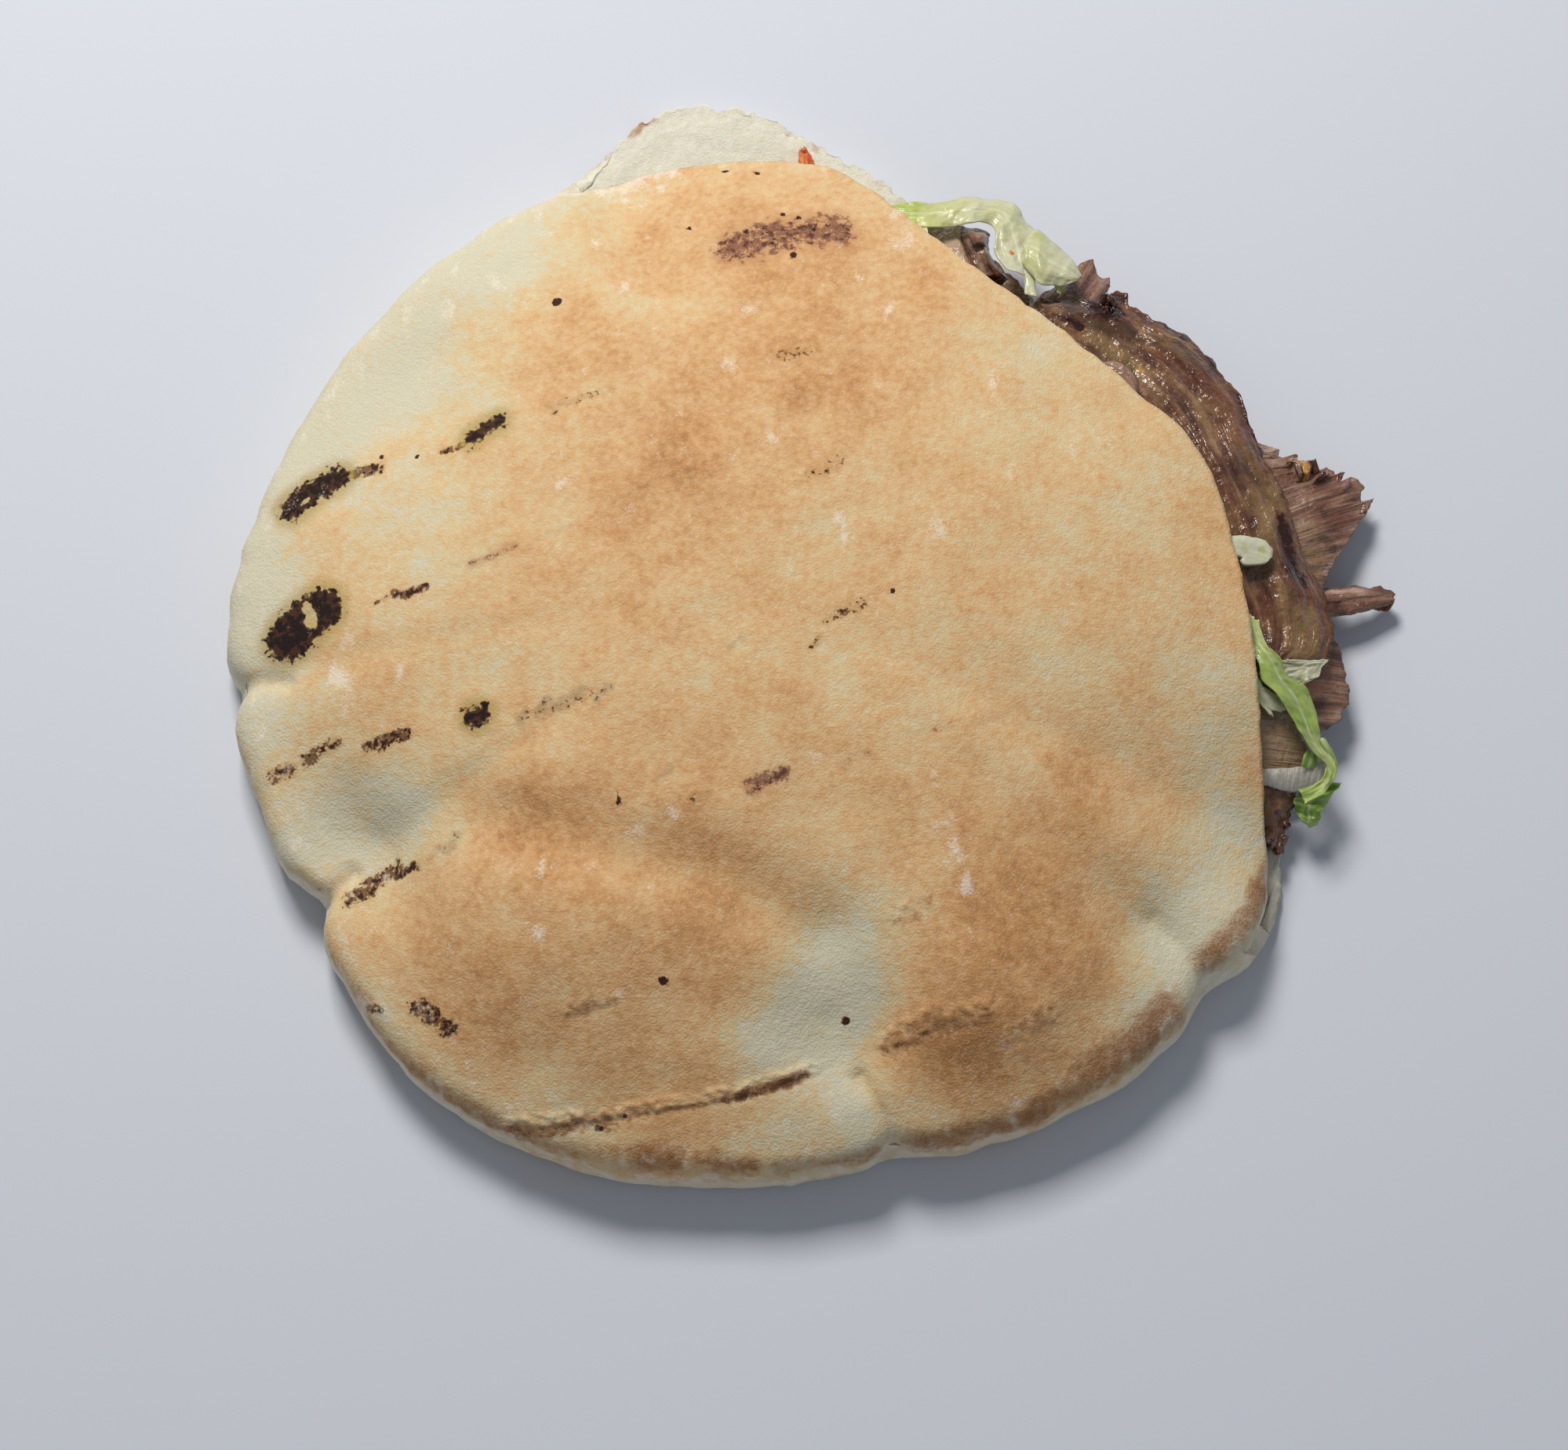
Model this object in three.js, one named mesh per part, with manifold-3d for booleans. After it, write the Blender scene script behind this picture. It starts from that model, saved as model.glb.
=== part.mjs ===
// A filled pita: one baked pocket bread, cut open along its right side, with grilled meat,
// lettuce, onion and carrot in the pocket. Everything is one resting assembly, and nothing is hinged.
// Millimetres, +Z up. The origin is on the table under the middle of the whole thing. The mouth faces +X.
import * as THREE from "three";
import { mergeVertices } from "three/addons/utils/BufferGeometryUtils.js";
import Module from "manifold-3d";

const wasm = await Module();
wasm.setup();

// ---- Driving dimensions of the bread ----
const breadCentre = new THREE.Vector2(-12, -2);
const crownHeight = 36; // top of the dome above the table
const wall = 3; // one layer of baked dough
const rimWall = 7; // where the two layers are fused, at the closed rim
const rimHeight = 8; // widest line of the closed rim above the table
const domePower = 2.2;
const noseHeight = 5.5; // the closed rim's rounded nose, above its widest line
const noseStart = 0.93; // share of the radius where the nose begins to turn down
const curlStart = 0.88; // share of the radius where the underside lifts off the table
const sag = { slope: 0.3, bend: 0.004 }; // how what hangs past the lip goes down with distance
const pieceGap = 0.3; // between pieces that lie on each other
const mouthOvercut = 16; // how far the pocket's cutter runs out past the lips

// Round the bread every 15 degrees, anticlockwise from +X: how far each layer reaches from the
// centre, and the height of the upper layer's edge. The mouth is where the two layers part.
const upperReach = [
  92, 90, 84, 80, 80.5, 88, 94, 96, 97, 97, 96.5, 98,
  100, 99.5, 99.5, 103, 107, 107, 105.5, 105.5, 109, 111, 110, 98,
];
const lowerReach = [
  101, 97, 92, 89, 90, 97, 109, 104, 97, 97, 96.5, 98,
  100, 99.5, 99.5, 103, 107, 107, 105.5, 105.5, 109, 111, 110.5, 106,
];
const edgeHeight = [
  24, 25, 25.5, 25.5, 25, 21, 16, 11, 8, 8, 8, 8,
  8, 8, 8, 8, 8, 8, 8, 8, 8, 8, 10, 19,
];
const layerReach = 0.78; // share of the way to the closed rim that the filling reaches
const mouth = { from: -33, to: 111, blend: 14 }; // degrees

// Pinched folds in the closed rim, and soft humps and hollows of the upper layer
const folds = [
  { angle: 187, depth: 2, width: 2.5 },
  { angle: 213, depth: 5, width: 3 },
  { angle: 284.6, depth: 2, width: 2.5 },
  { angle: 320.6, depth: 1.5, width: 3 },
];
const humps = [
  { x: -46, y: -58, height: 3.5, spread: 24 },
  { x: 32, y: -76, height: 3, spread: 22 },
  { x: -80, y: 44, height: -3, spread: 20 },
  { x: 3, y: -80, height: -5, spread: 13 },
  { x: -86, y: -44, height: -3.5, spread: 13 },
  { x: 63, y: -60, height: -2.5, spread: 13 },
];

// ---- Numbers read off the driving dimensions ----
const degrees = 180 / Math.PI;

// Smooth value at an angle from a ring of evenly spaced ones
function around(ring, angle) {
  const turn = ((((angle * degrees) / 360) % 1) + 1) % 1;
  const place = turn * ring.length;
  const i = Math.floor(place);
  const t = place - i;
  const [a, b, c, d] = [-1, 0, 1, 2].map((k) => ring[(i + k + ring.length) % ring.length]);
  return b + 0.5 * t * (c - a + t * (2 * a - 5 * b + 4 * c - d + t * (3 * (b - c) + d - a)));
}

// 1 inside the mouth, 0 at the closed rim
function openness(angle) {
  const middle = (mouth.from + mouth.to) / 2;
  const away = Math.abs(((angle * degrees - middle + 540) % 360) - 180);
  const half = (mouth.to - mouth.from) / 2;
  return 1 - THREE.MathUtils.smoothstep(away, half - mouth.blend, half);
}

// Inward dent of the closed rim's outline at an angle
function foldDepth(angle) {
  let depth = 0;
  for (const fold of folds) {
    const away = ((angle * degrees - fold.angle + 540) % 360) - 180;
    depth += fold.depth * Math.exp(-((away / fold.width) ** 2));
  }
  return depth;
}

function polar(x, y) {
  const dx = x - breadCentre.x;
  const dy = y - breadCentre.y;
  return { angle: Math.atan2(dy, dx), reach: Math.hypot(dx, dy) };
}

const upperRadius = (angle) => around(upperReach, angle) - foldDepth(angle);
const lowerRadius = (angle) => around(lowerReach, angle) - foldDepth(angle);

// Quarter round: 1 up to the start, 0 at a share of 1
function quarterRound(share, start) {
  const u = Math.max(0, (Math.min(share, 1) - start) / (1 - start));
  return Math.sqrt(1 - u * u);
}

// Outside face of the upper layer, at a share of the way from the centre to its edge
function upperSkin(angle, share, x, y) {
  const edge = around(edgeHeight, angle);
  const nose = noseHeight * (1 - openness(angle));
  const rise = 1 - Math.min(share, 1) ** domePower;
  let z = edge + nose * quarterRound(share, noseStart) + (crownHeight - edge - nose) * rise;
  for (const hump of humps) {
    const away = Math.hypot(x - hump.x, y - hump.y) / hump.spread;
    z += hump.height * Math.exp(-away * away) * Math.min(1, 3 * rise);
  }
  return z;
}

// Outside face of the lower layer: flat on the table, curling up to the closed rim
function lowerSkin(angle, share) {
  return rimHeight * (1 - quarterRound(share, curlStart)) * (1 - openness(angle));
}

// Height at a level between the pocket's floor, 0, and its roof, 1. Past the lip the levels sag.
function level(x, y, share) {
  const { angle, reach } = polar(x, y);
  const radius = upperRadius(angle);
  const past = Math.max(0, reach - radius);
  const roof = upperSkin(angle, reach / radius, x, y) - wall - (sag.slope + sag.bend * past) * past;
  const floor = wall + pieceGap;
  return floor + share * (roof - floor);
}

// ---- Shape makers: each solid is a three.js primitive bent into place ----
function bent(primitive, place) {
  const geometry = primitive.clone();
  geometry.deleteAttribute("normal");
  geometry.deleteAttribute("uv");
  const merged = mergeVertices(geometry, 1e-4);
  const positions = merged.getAttribute("position");
  const vertex = new THREE.Vector3();
  for (let i = 0; i < positions.count; i++) {
    vertex.fromBufferAttribute(positions, i);
    positions.setXYZ(i, ...place(vertex).toArray());
  }
  merged.computeVertexNormals();
  return merged;
}

// A flattened ball. place(angle, share, side) is told how far out a point is, and its side:
// 1 above, -1 below, 0 at the edge.
function pillow(segments, rings, place) {
  const ball = new THREE.SphereGeometry(1, segments, 2 * rings).rotateX(Math.PI / 2);
  return bent(ball, (v) => {
    const out = Math.min(1, Math.hypot(v.x, v.y));
    const side = Math.abs(v.z) < 1e-6 ? 0 : Math.sign(v.z);
    return place(Math.atan2(v.y, v.x), out, side);
  });
}

// A slice with a free outline of [x, y] points. top and bottom give its faces' heights.
function slice(outline, top, bottom, segments) {
  const points = outline.map(([x, y]) => new THREE.Vector3(x, y, 0));
  if (THREE.ShapeUtils.area(points) < 0) points.reverse();
  const edge = new THREE.CatmullRomCurve3(points, true, "centripetal");
  const middle = points.reduce((sum, p) => sum.add(p), new THREE.Vector3()).divideScalar(points.length);
  return pillow(segments, 3, (angle, share, side) => {
    const p = edge.getPointAt((angle / (2 * Math.PI) + 1) % 1).lerp(middle, 1 - share);
    const [high, low] = [top(p.x, p.y), bottom(p.x, p.y)];
    p.z = side === 0 ? (high + low) / 2 : side > 0 ? high : low;
    return p;
  });
}

// A strip along a path of stations: [x, y, height above the pocket's roof level, width]
function strip(stations, thickness, steps) {
  const path = new THREE.CatmullRomCurve3(stations.map(([x, y]) => new THREE.Vector3(x, y, 0)));
  const last = stations.length - 1;
  return bent(new THREE.BoxGeometry(1, 1, 1, steps, 2, 1), (v) => {
    const u = THREE.MathUtils.clamp(v.x + 0.5, 0, 1);
    const i = Math.min(Math.floor(u * last), last - 1);
    const t = THREE.MathUtils.smoothstep(u * last - i, 0, 1);
    const above = THREE.MathUtils.lerp(stations[i][2], stations[i + 1][2], t);
    const width = THREE.MathUtils.lerp(stations[i][3], stations[i + 1][3], t);
    const middle = path.getPoint(u);
    const along = path.getTangent(u);
    const across = new THREE.Vector3(-along.y, along.x, 0).normalize();
    const z = level(middle.x, middle.y, 1) + above + v.z * thickness;
    return new THREE.Vector3(middle.x, middle.y, z).addScaledVector(across, v.y * width);
  });
}

function solidOf(geometry) {
  return new wasm.Manifold(
    new wasm.Mesh({
      numProp: 3,
      vertProperties: geometry.getAttribute("position").array,
      triVerts: new Uint32Array(geometry.index.array),
    }),
  );
}

function geometryOf(solid) {
  const mesh = solid.getMesh();
  const geometry = new THREE.BufferGeometry();
  geometry.setAttribute("position", new THREE.BufferAttribute(new Float32Array(mesh.vertProperties), 3));
  geometry.setIndex(new THREE.BufferAttribute(new Uint32Array(mesh.triVerts), 1));
  geometry.computeVertexNormals();
  return geometry;
}

// ---- The bread: a domed round, less the pocket inside it, which runs out through the mouth ----
function breadPoint(angle, reach, height) {
  const x = breadCentre.x + reach * Math.cos(angle);
  const y = breadCentre.y + reach * Math.sin(angle);
  return new THREE.Vector3(x, y, height(x, y));
}

function bread() {
  const round = pillow(60, 11, (angle, share, side) => {
    const upper = upperRadius(angle);
    const lower = lowerRadius(angle);
    if (side > 0) return breadPoint(angle, share * upper, (x, y) => upperSkin(angle, share, x, y));
    if (side < 0) return breadPoint(angle, share * lower, () => lowerSkin(angle, share));
    const closing = around(edgeHeight, angle) * (1 - openness(angle) / 2);
    return breadPoint(angle, (upper + lower) / 2, () => closing);
  });
  const pocket = pillow(48, 7, (angle, share, side) => {
    const open = openness(angle);
    const past = THREE.MathUtils.lerp(-rimWall, mouthOvercut, open);
    const reach = share * (Math.max(upperRadius(angle), lowerRadius(angle) * open) + past);
    return breadPoint(angle, reach, (x, y) => {
      const roof = upperSkin(angle, reach / upperRadius(angle), x, y) - wall;
      const floor = lowerSkin(angle, reach / lowerRadius(angle)) + wall;
      return side === 0 ? (roof + floor) / 2 : side > 0 ? roof : floor;
    });
  });
  return geometryOf(solidOf(round).subtract(solidOf(pocket)));
}

// ---- Materials ----
function finish(colour, roughness) {
  return new THREE.MeshStandardMaterial({ color: colour, roughness, metalness: 0 });
}
const bakedDough = finish("#dcb27c", 0.85);
const grilledMeat = finish("#6f4a38", 0.45);
const paleMeat = finish("#8f6f62", 0.55);
const greenLeaf = finish("#a9bf5c", 0.4);
const paleLeaf = finish("#dfe3b4", 0.4);
const rawOnion = finish("#dcd9cc", 0.3);
const rawCarrot = finish("#c8602f", 0.5);

// ---- The filling ----
const group = new THREE.Group();

function add(name, geometry, material) {
  const mesh = new THREE.Mesh(geometry, material);
  mesh.name = name;
  group.add(mesh);
}

// A layer between two levels of the pocket, reaching a given share of the way to the lip
function layer(lipShare, from, to) {
  return pillow(32, 5, (angle, share, side) => {
    const reach = upperRadius(angle) * THREE.MathUtils.lerp(layerReach, lipShare, openness(angle));
    const height = side === 0 ? (from + to) / 2 : side > 0 ? to : from;
    return breadPoint(angle, share * reach, (x, y) => level(x, y, height));
  });
}

// Slices of one thickness whose top follows a level
function draped(outline, topLevel, thickness, segments = 24) {
  const top = (x, y) => level(x, y, topLevel);
  return slice(outline, top, (x, y) => top(x, y) - thickness, segments);
}

add("bread", bread(), bakedDough);

// Hidden in the pocket, from its floor up
add("lettuce_bed", layer(0.84, 0.03, 0.13), greenLeaf);
add("meat_inner_bottom", layer(0.84, 0.18, 0.33), paleMeat);
add("meat_inner_middle", layer(0.82, 0.38, 0.53), paleMeat);
add("meat_inner_top", layer(0.78, 0.58, 0.72), grilledMeat);
add("lettuce_inner_top", layer(0.74, 0.8, 0.92), paleLeaf);

// Hanging out of the mouth
const grilled = [
  [96, 2], [95, 11], [89, 25], [84, 37], [77, 48], [68, 57], [58, 62], [48, 63],
  [42, 54], [46, 40], [56, 26], [62, 8], [66, -8], [80, -14], [94, -11],
];
add("meat_grilled_slice", draped(grilled, 0.94, 2.4, 36), grilledMeat);
const lobe = [[101, -10], [100, -18], [95, -22], [86, -19], [76, -14], [74, -2], [84, 2], [97, -3]];
add("meat_lobe_slice", draped(lobe, 0.66, 2.2), paleMeat);
const tucked = [[92, -26], [90, -31], [80, -33], [68, -30], [66, -20], [76, -17.5], [85, -22]];
add("meat_tucked_slice", draped(tucked, 0.8, 2.2), paleMeat);
const charred = [[89, -35], [88, -40], [86, -44.5], [80, -44], [76, -38], [80, -35]];
add("meat_charred_end", draped(charred, 0.8, 4, 16), grilledMeat);
const fan = [
  [106, 26], [104, 20], [101, 12], [96, 6], [84, 8], [76, 18], [76, 30], [84, 38], [91, 34], [100, 31],
];
add("meat_frayed_fan", draped(fan, 0.62, 2.4, 30), paleMeat);
const ragged = [[58, 68], [55, 73], [48, 71], [40, 66], [36, 58], [42, 52], [52, 54], [60, 62]];
add("meat_ragged_slice", draped(ragged, 0.7, 2.2), paleMeat);
const standing = [[35, 79], [26, 79], [22, 74], [28, 66], [35, 63], [39, 69]];
add("meat_standing_slice", draped(standing, 0.82, 8, 16), paleMeat);
const scrap = [[63, 45], [61, 48.5], [57, 51], [55.5, 49], [59, 45], [62, 42.5]];
add("meat_curled_scrap", draped(scrap, 1.15, 2, 14), paleMeat);
const finger = [[111.5, 5], [110, 8], [100, 8.5], [88, 7], [78, 4], [80, -1], [92, -0.5], [103, 2.5]];
add("meat_finger_strip", draped(finger, 0.36, 3, 22), paleMeat);

// Leaves and shreds on top of the meat
const foldedLeaf = [
  [13, 81, -2, 4], [19, 81, -1, 6], [27, 81, 0.6, 7], [33, 79, 1, 8], [38, 75, 1, 8],
  [41, 70, 1, 9], [46, 68, 1, 10], [51, 67, 1, 3],
];
add("lettuce_folded_leaf", strip(foldedLeaf, 1.2, 18), paleLeaf);
const paleOutline = [[26, 77], [21, 77.5], [17, 73], [20, 68], [25, 66], [27, 71]];
add("lettuce_pale_leaf", draped(paleOutline, 0.25, 1, 14), paleLeaf);
const rib = [[87, 10], [85, 12.5], [81.5, 13], [80, 10], [81.5, 7.5], [85, 7]];
add("lettuce_rib", draped(rib, 1.12, 1.6, 14), paleLeaf);
const longShred = [
  [80.5, 3, 2.6, 2], [83, -7, 2.6, 4], [88, -14, 2.6, 6], [90.5, -20, 2.6, 6.5], [92.5, -25, 2.6, 4],
  [95, -29, 2.6, 4], [95, -33, 2.6, 4], [91.5, -35.5, 2.6, 6],
];
add("lettuce_long_shred", strip(longShred, 1, 22), greenLeaf);
const frill = [[99, -34.5], [95, -38], [94, -42], [89, -42.5], [88.5, -40], [91, -37.5], [95, -36]];
add("lettuce_frilled_tip", draped(frill, 0.75, 1.2, 18), greenLeaf);
const whiteLeaf = [[95.5, -10.5], [94, -13.5], [90.5, -14.5], [86, -12], [88, -10.5], [92, -9.5]];
add("lettuce_white_leaf", draped(whiteLeaf, 1.05, 0.8, 14), paleLeaf);
const sliver = [[86, -21], [84, -22], [81, -17], [80, -13], [82.5, -14.5]];
add("lettuce_sliver", draped(sliver, 0.97, 0.8, 12), greenLeaf);
const onion = [[95, -29], [95, -32], [89, -33.5], [80, -33], [79, -30.5], [85, -29.5]];
add("onion_strip", draped(onion, 1, 0.8, 16), rawOnion);
const carrot = [[-2.5, 99], [0.5, 95], [-1, 88], [-4, 88], [-4.5, 95]];
add("carrot_sliver", draped(carrot, 0.4, 2, 12), rawCarrot);

export default group;
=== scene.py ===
import math
import random

import bpy
import numpy as np
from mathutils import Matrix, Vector, noise


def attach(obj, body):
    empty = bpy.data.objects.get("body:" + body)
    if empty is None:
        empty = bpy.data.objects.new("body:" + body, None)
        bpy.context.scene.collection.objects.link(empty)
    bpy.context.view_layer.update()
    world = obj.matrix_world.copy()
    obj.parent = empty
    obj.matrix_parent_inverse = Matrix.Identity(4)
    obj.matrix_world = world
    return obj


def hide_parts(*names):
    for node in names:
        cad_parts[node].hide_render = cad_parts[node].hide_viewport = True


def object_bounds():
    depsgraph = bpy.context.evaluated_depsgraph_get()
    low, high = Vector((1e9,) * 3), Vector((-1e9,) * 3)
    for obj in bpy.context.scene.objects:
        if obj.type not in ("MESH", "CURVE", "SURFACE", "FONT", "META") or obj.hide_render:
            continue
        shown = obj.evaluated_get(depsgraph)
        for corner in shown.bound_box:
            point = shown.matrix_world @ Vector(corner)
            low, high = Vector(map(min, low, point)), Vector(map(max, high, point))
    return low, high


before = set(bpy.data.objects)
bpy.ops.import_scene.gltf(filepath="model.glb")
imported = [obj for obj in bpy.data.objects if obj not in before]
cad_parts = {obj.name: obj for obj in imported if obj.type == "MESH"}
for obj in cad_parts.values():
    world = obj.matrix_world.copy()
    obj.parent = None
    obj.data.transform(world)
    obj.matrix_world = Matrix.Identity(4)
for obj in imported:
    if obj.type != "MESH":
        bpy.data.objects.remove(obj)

cadBox = [list(corner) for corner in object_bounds()]
mm = 0.001  # shapes are worked out in millimetres, Blender's unit is the metre
random.seed(7)


# Helpers
def linear(code):  # sRGB hex to linear colour
    parts = [int(code[i:i + 2], 16) / 255 for i in (1, 3, 5)]
    return [c / 12.92 if c <= 0.04045 else ((c + 0.055) / 1.055) ** 2.4 for c in parts] + [1]


def add(tree, kind, links=None, stops=None, **settings):  # one node, its settings and its links
    node = tree.nodes.new(kind)
    for key, value in settings.items():
        setattr(node, key, value)
    for key, value in (links or {}).items():
        if isinstance(value, bpy.types.NodeSocket):
            tree.links.new(value, node.inputs[key])
        else:
            node.inputs[key].default_value = value
    if stops:
        elements = node.color_ramp.elements
        while len(elements) < len(stops):
            elements.new(0.5)
        for element, (place, code) in zip(elements, stops):
            element.position = place
            element.color = linear(code)
    return node


def newMaterial(name):
    material = bpy.data.materials.new(name)
    material.use_nodes = True
    tree = material.node_tree
    return material, tree, tree.nodes["Principled BSDF"]


def smooth(value, low, high):  # 0 below low, 1 above high, eased between
    t = np.clip((np.asarray(value, float) - low) / (high - low), 0, 1)
    return t * t * (3 - 2 * t)


def rough(points, size, seed=0):  # noise of about -1 to 1 at each point, with lumps of that size in mm
    return np.array([noise.noise(Vector(p) / size + Vector((seed, 2 * seed, -seed))) for p in points])


def lumps(points, *waves):  # several noises together, each as height, size and seed
    return sum(height * rough(points, size, seed) for height, size, seed in waves)


def ringValue(ring, angle):  # smooth value at an angle from a ring of evenly spaced ones
    values, count = np.array(ring, float), len(ring)
    place = np.asarray(angle) / (2 * np.pi) % 1 * count
    i = np.floor(place).astype(int)
    t = place - i
    a, b, c, d = (values[(i + k) % count] for k in (-1, 0, 1, 2))
    return b + 0.5 * t * (c - a + t * (2 * a - 5 * b + 4 * c - d + t * (3 * (b - c) + d - a)))


def distanceTo(x, y, path):  # from each point to a polyline, in mm
    best = np.full(np.shape(x), 1e9)
    for (ax, ay), (bx, by) in zip(path, path[1:] or path):
        span = max((bx - ax) ** 2 + (by - ay) ** 2, 1e-9)
        t = np.clip(((x - ax) * (bx - ax) + (y - ay) * (by - ay)) / span, 0, 1)
        best = np.minimum(best, np.hypot(x - ax - t * (bx - ax), y - ay - t * (by - ay)))
    return best


def readPoints(mesh):  # vertex places in mm
    flat = np.empty(len(mesh.vertices) * 3)
    mesh.vertices.foreach_get("co", flat)
    return flat.reshape(-1, 3) / mm


def writePoints(mesh, points):
    mesh.vertices.foreach_set("co", (np.asarray(points) * mm).ravel())
    mesh.update()


def readNormals(mesh):
    flat = np.empty(len(mesh.vertices) * 3)
    mesh.vertex_normals.foreach_get("vector", flat)
    return flat.reshape(-1, 3)


def paint(mesh, name, values):  # a mask that the material reads
    layer = mesh.attributes.get(name) or mesh.attributes.new(name, "FLOAT", "POINT")
    layer.data.foreach_set("value", np.ascontiguousarray(values, dtype=np.float32))


def readPaint(mesh, name):
    values = np.empty(len(mesh.vertices), dtype=np.float32)
    mesh.attributes[name].data.foreach_get("value", values)
    return values


def applyAll(piece):  # the piece's modifiers, in order
    bpy.ops.object.select_all(action="DESELECT")
    piece.select_set(True)
    bpy.context.view_layer.objects.active = piece
    for modifier in list(piece.modifiers):
        bpy.ops.object.modifier_apply(modifier=modifier.name)


def paintPattern(mesh, places):  # a UV map in centimetres, from places in mm
    layer = mesh.uv_layers.active or mesh.uv_layers.new()
    corners = np.empty(len(mesh.loops), dtype=np.int32)
    mesh.loops.foreach_get("vertex_index", corners)
    layer.data.foreach_set("uv", (places[corners] / 10).ravel())


def thicken(piece, thickness, shares=()):  # a wall inwards in mm, thinner where a share is below 1
    if len(shares):
        group = piece.vertex_groups.new(name="thickness")
        for index, share in enumerate(shares):
            group.add([index], float(share), "REPLACE")
    wall = piece.modifiers.new("wall", "SOLIDIFY")
    wall.thickness = thickness * mm
    wall.offset = -1
    wall.use_even_offset = False
    wall.vertex_group = "thickness" if len(shares) else ""
    applyAll(piece)
    piece.vertex_groups.clear()


def started(name):  # the active piece, under its own name
    piece = bpy.context.active_object
    piece.name = name
    piece.data.name = name
    return piece


def finished(piece, material, slot, *nodes):
    piece.data.materials.clear()
    piece.data.materials.append(material)
    piece.data.shade_smooth()
    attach(piece, "root")
    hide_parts(*nodes)


# Camera: steep view from the front, as a person stands over the table
view = {
    "place": (-6.5, -199.3, 684.6),
    "target": (-6, -18, 0),
    "lens": 85,
}
bpy.ops.object.camera_add(location=[c * mm for c in view["place"]])
camera = started("camera")
camera.data.lens = view["lens"]
direction = Vector(view["target"]) - Vector(view["place"])
camera.rotation_euler = direction.to_track_quat("-Z", "Y").to_euler()
camera.data.clip_start = 0.01
bpy.context.scene.camera = camera

# Studio: a big soft light behind and to the left, a weak one in front, a pale even room
studio = {
    "key": {"place": (-0.2, 0.62, 0.8), "size": 0.3, "power": 9, "colour": "#FFFAF2"},
    "fill": {"place": (0.5, -0.5, 0.9), "size": 0.9, "power": 0.35, "colour": "#F2F6FF"},
    "room": {"colour": "#EDF1F8", "strength": 0.22},
    "floor": "#D8DEEA",
}
for name in ("key", "fill"):
    light = studio[name]
    bpy.ops.object.light_add(type="AREA", location=light["place"])
    lamp = started(name + "Light")
    lamp.data.size = light["size"]
    lamp.data.energy = light["power"]
    lamp.data.color = linear(light["colour"])[:3]
    lamp.rotation_euler = (-Vector(light["place"])).to_track_quat("-Z", "Y").to_euler()
world = bpy.context.scene.world or bpy.data.worlds.new("room")
bpy.context.scene.world = world
world.use_nodes = True
background = world.node_tree.nodes["Background"]
background.inputs["Color"].default_value = linear(studio["room"]["colour"])
background.inputs["Strength"].default_value = studio["room"]["strength"]
bpy.context.scene.view_settings.view_transform = "Standard"

bpy.ops.mesh.primitive_plane_add(size=6)
floor = started("floor")
floorPaint, tree, shader = newMaterial("matt pale tabletop")
shader.inputs["Base Color"].default_value = linear(studio["floor"])
shader.inputs["Roughness"].default_value = 0.75
floor.data.materials.append(floorPaint)
print("camera, lights and floor are set")

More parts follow.
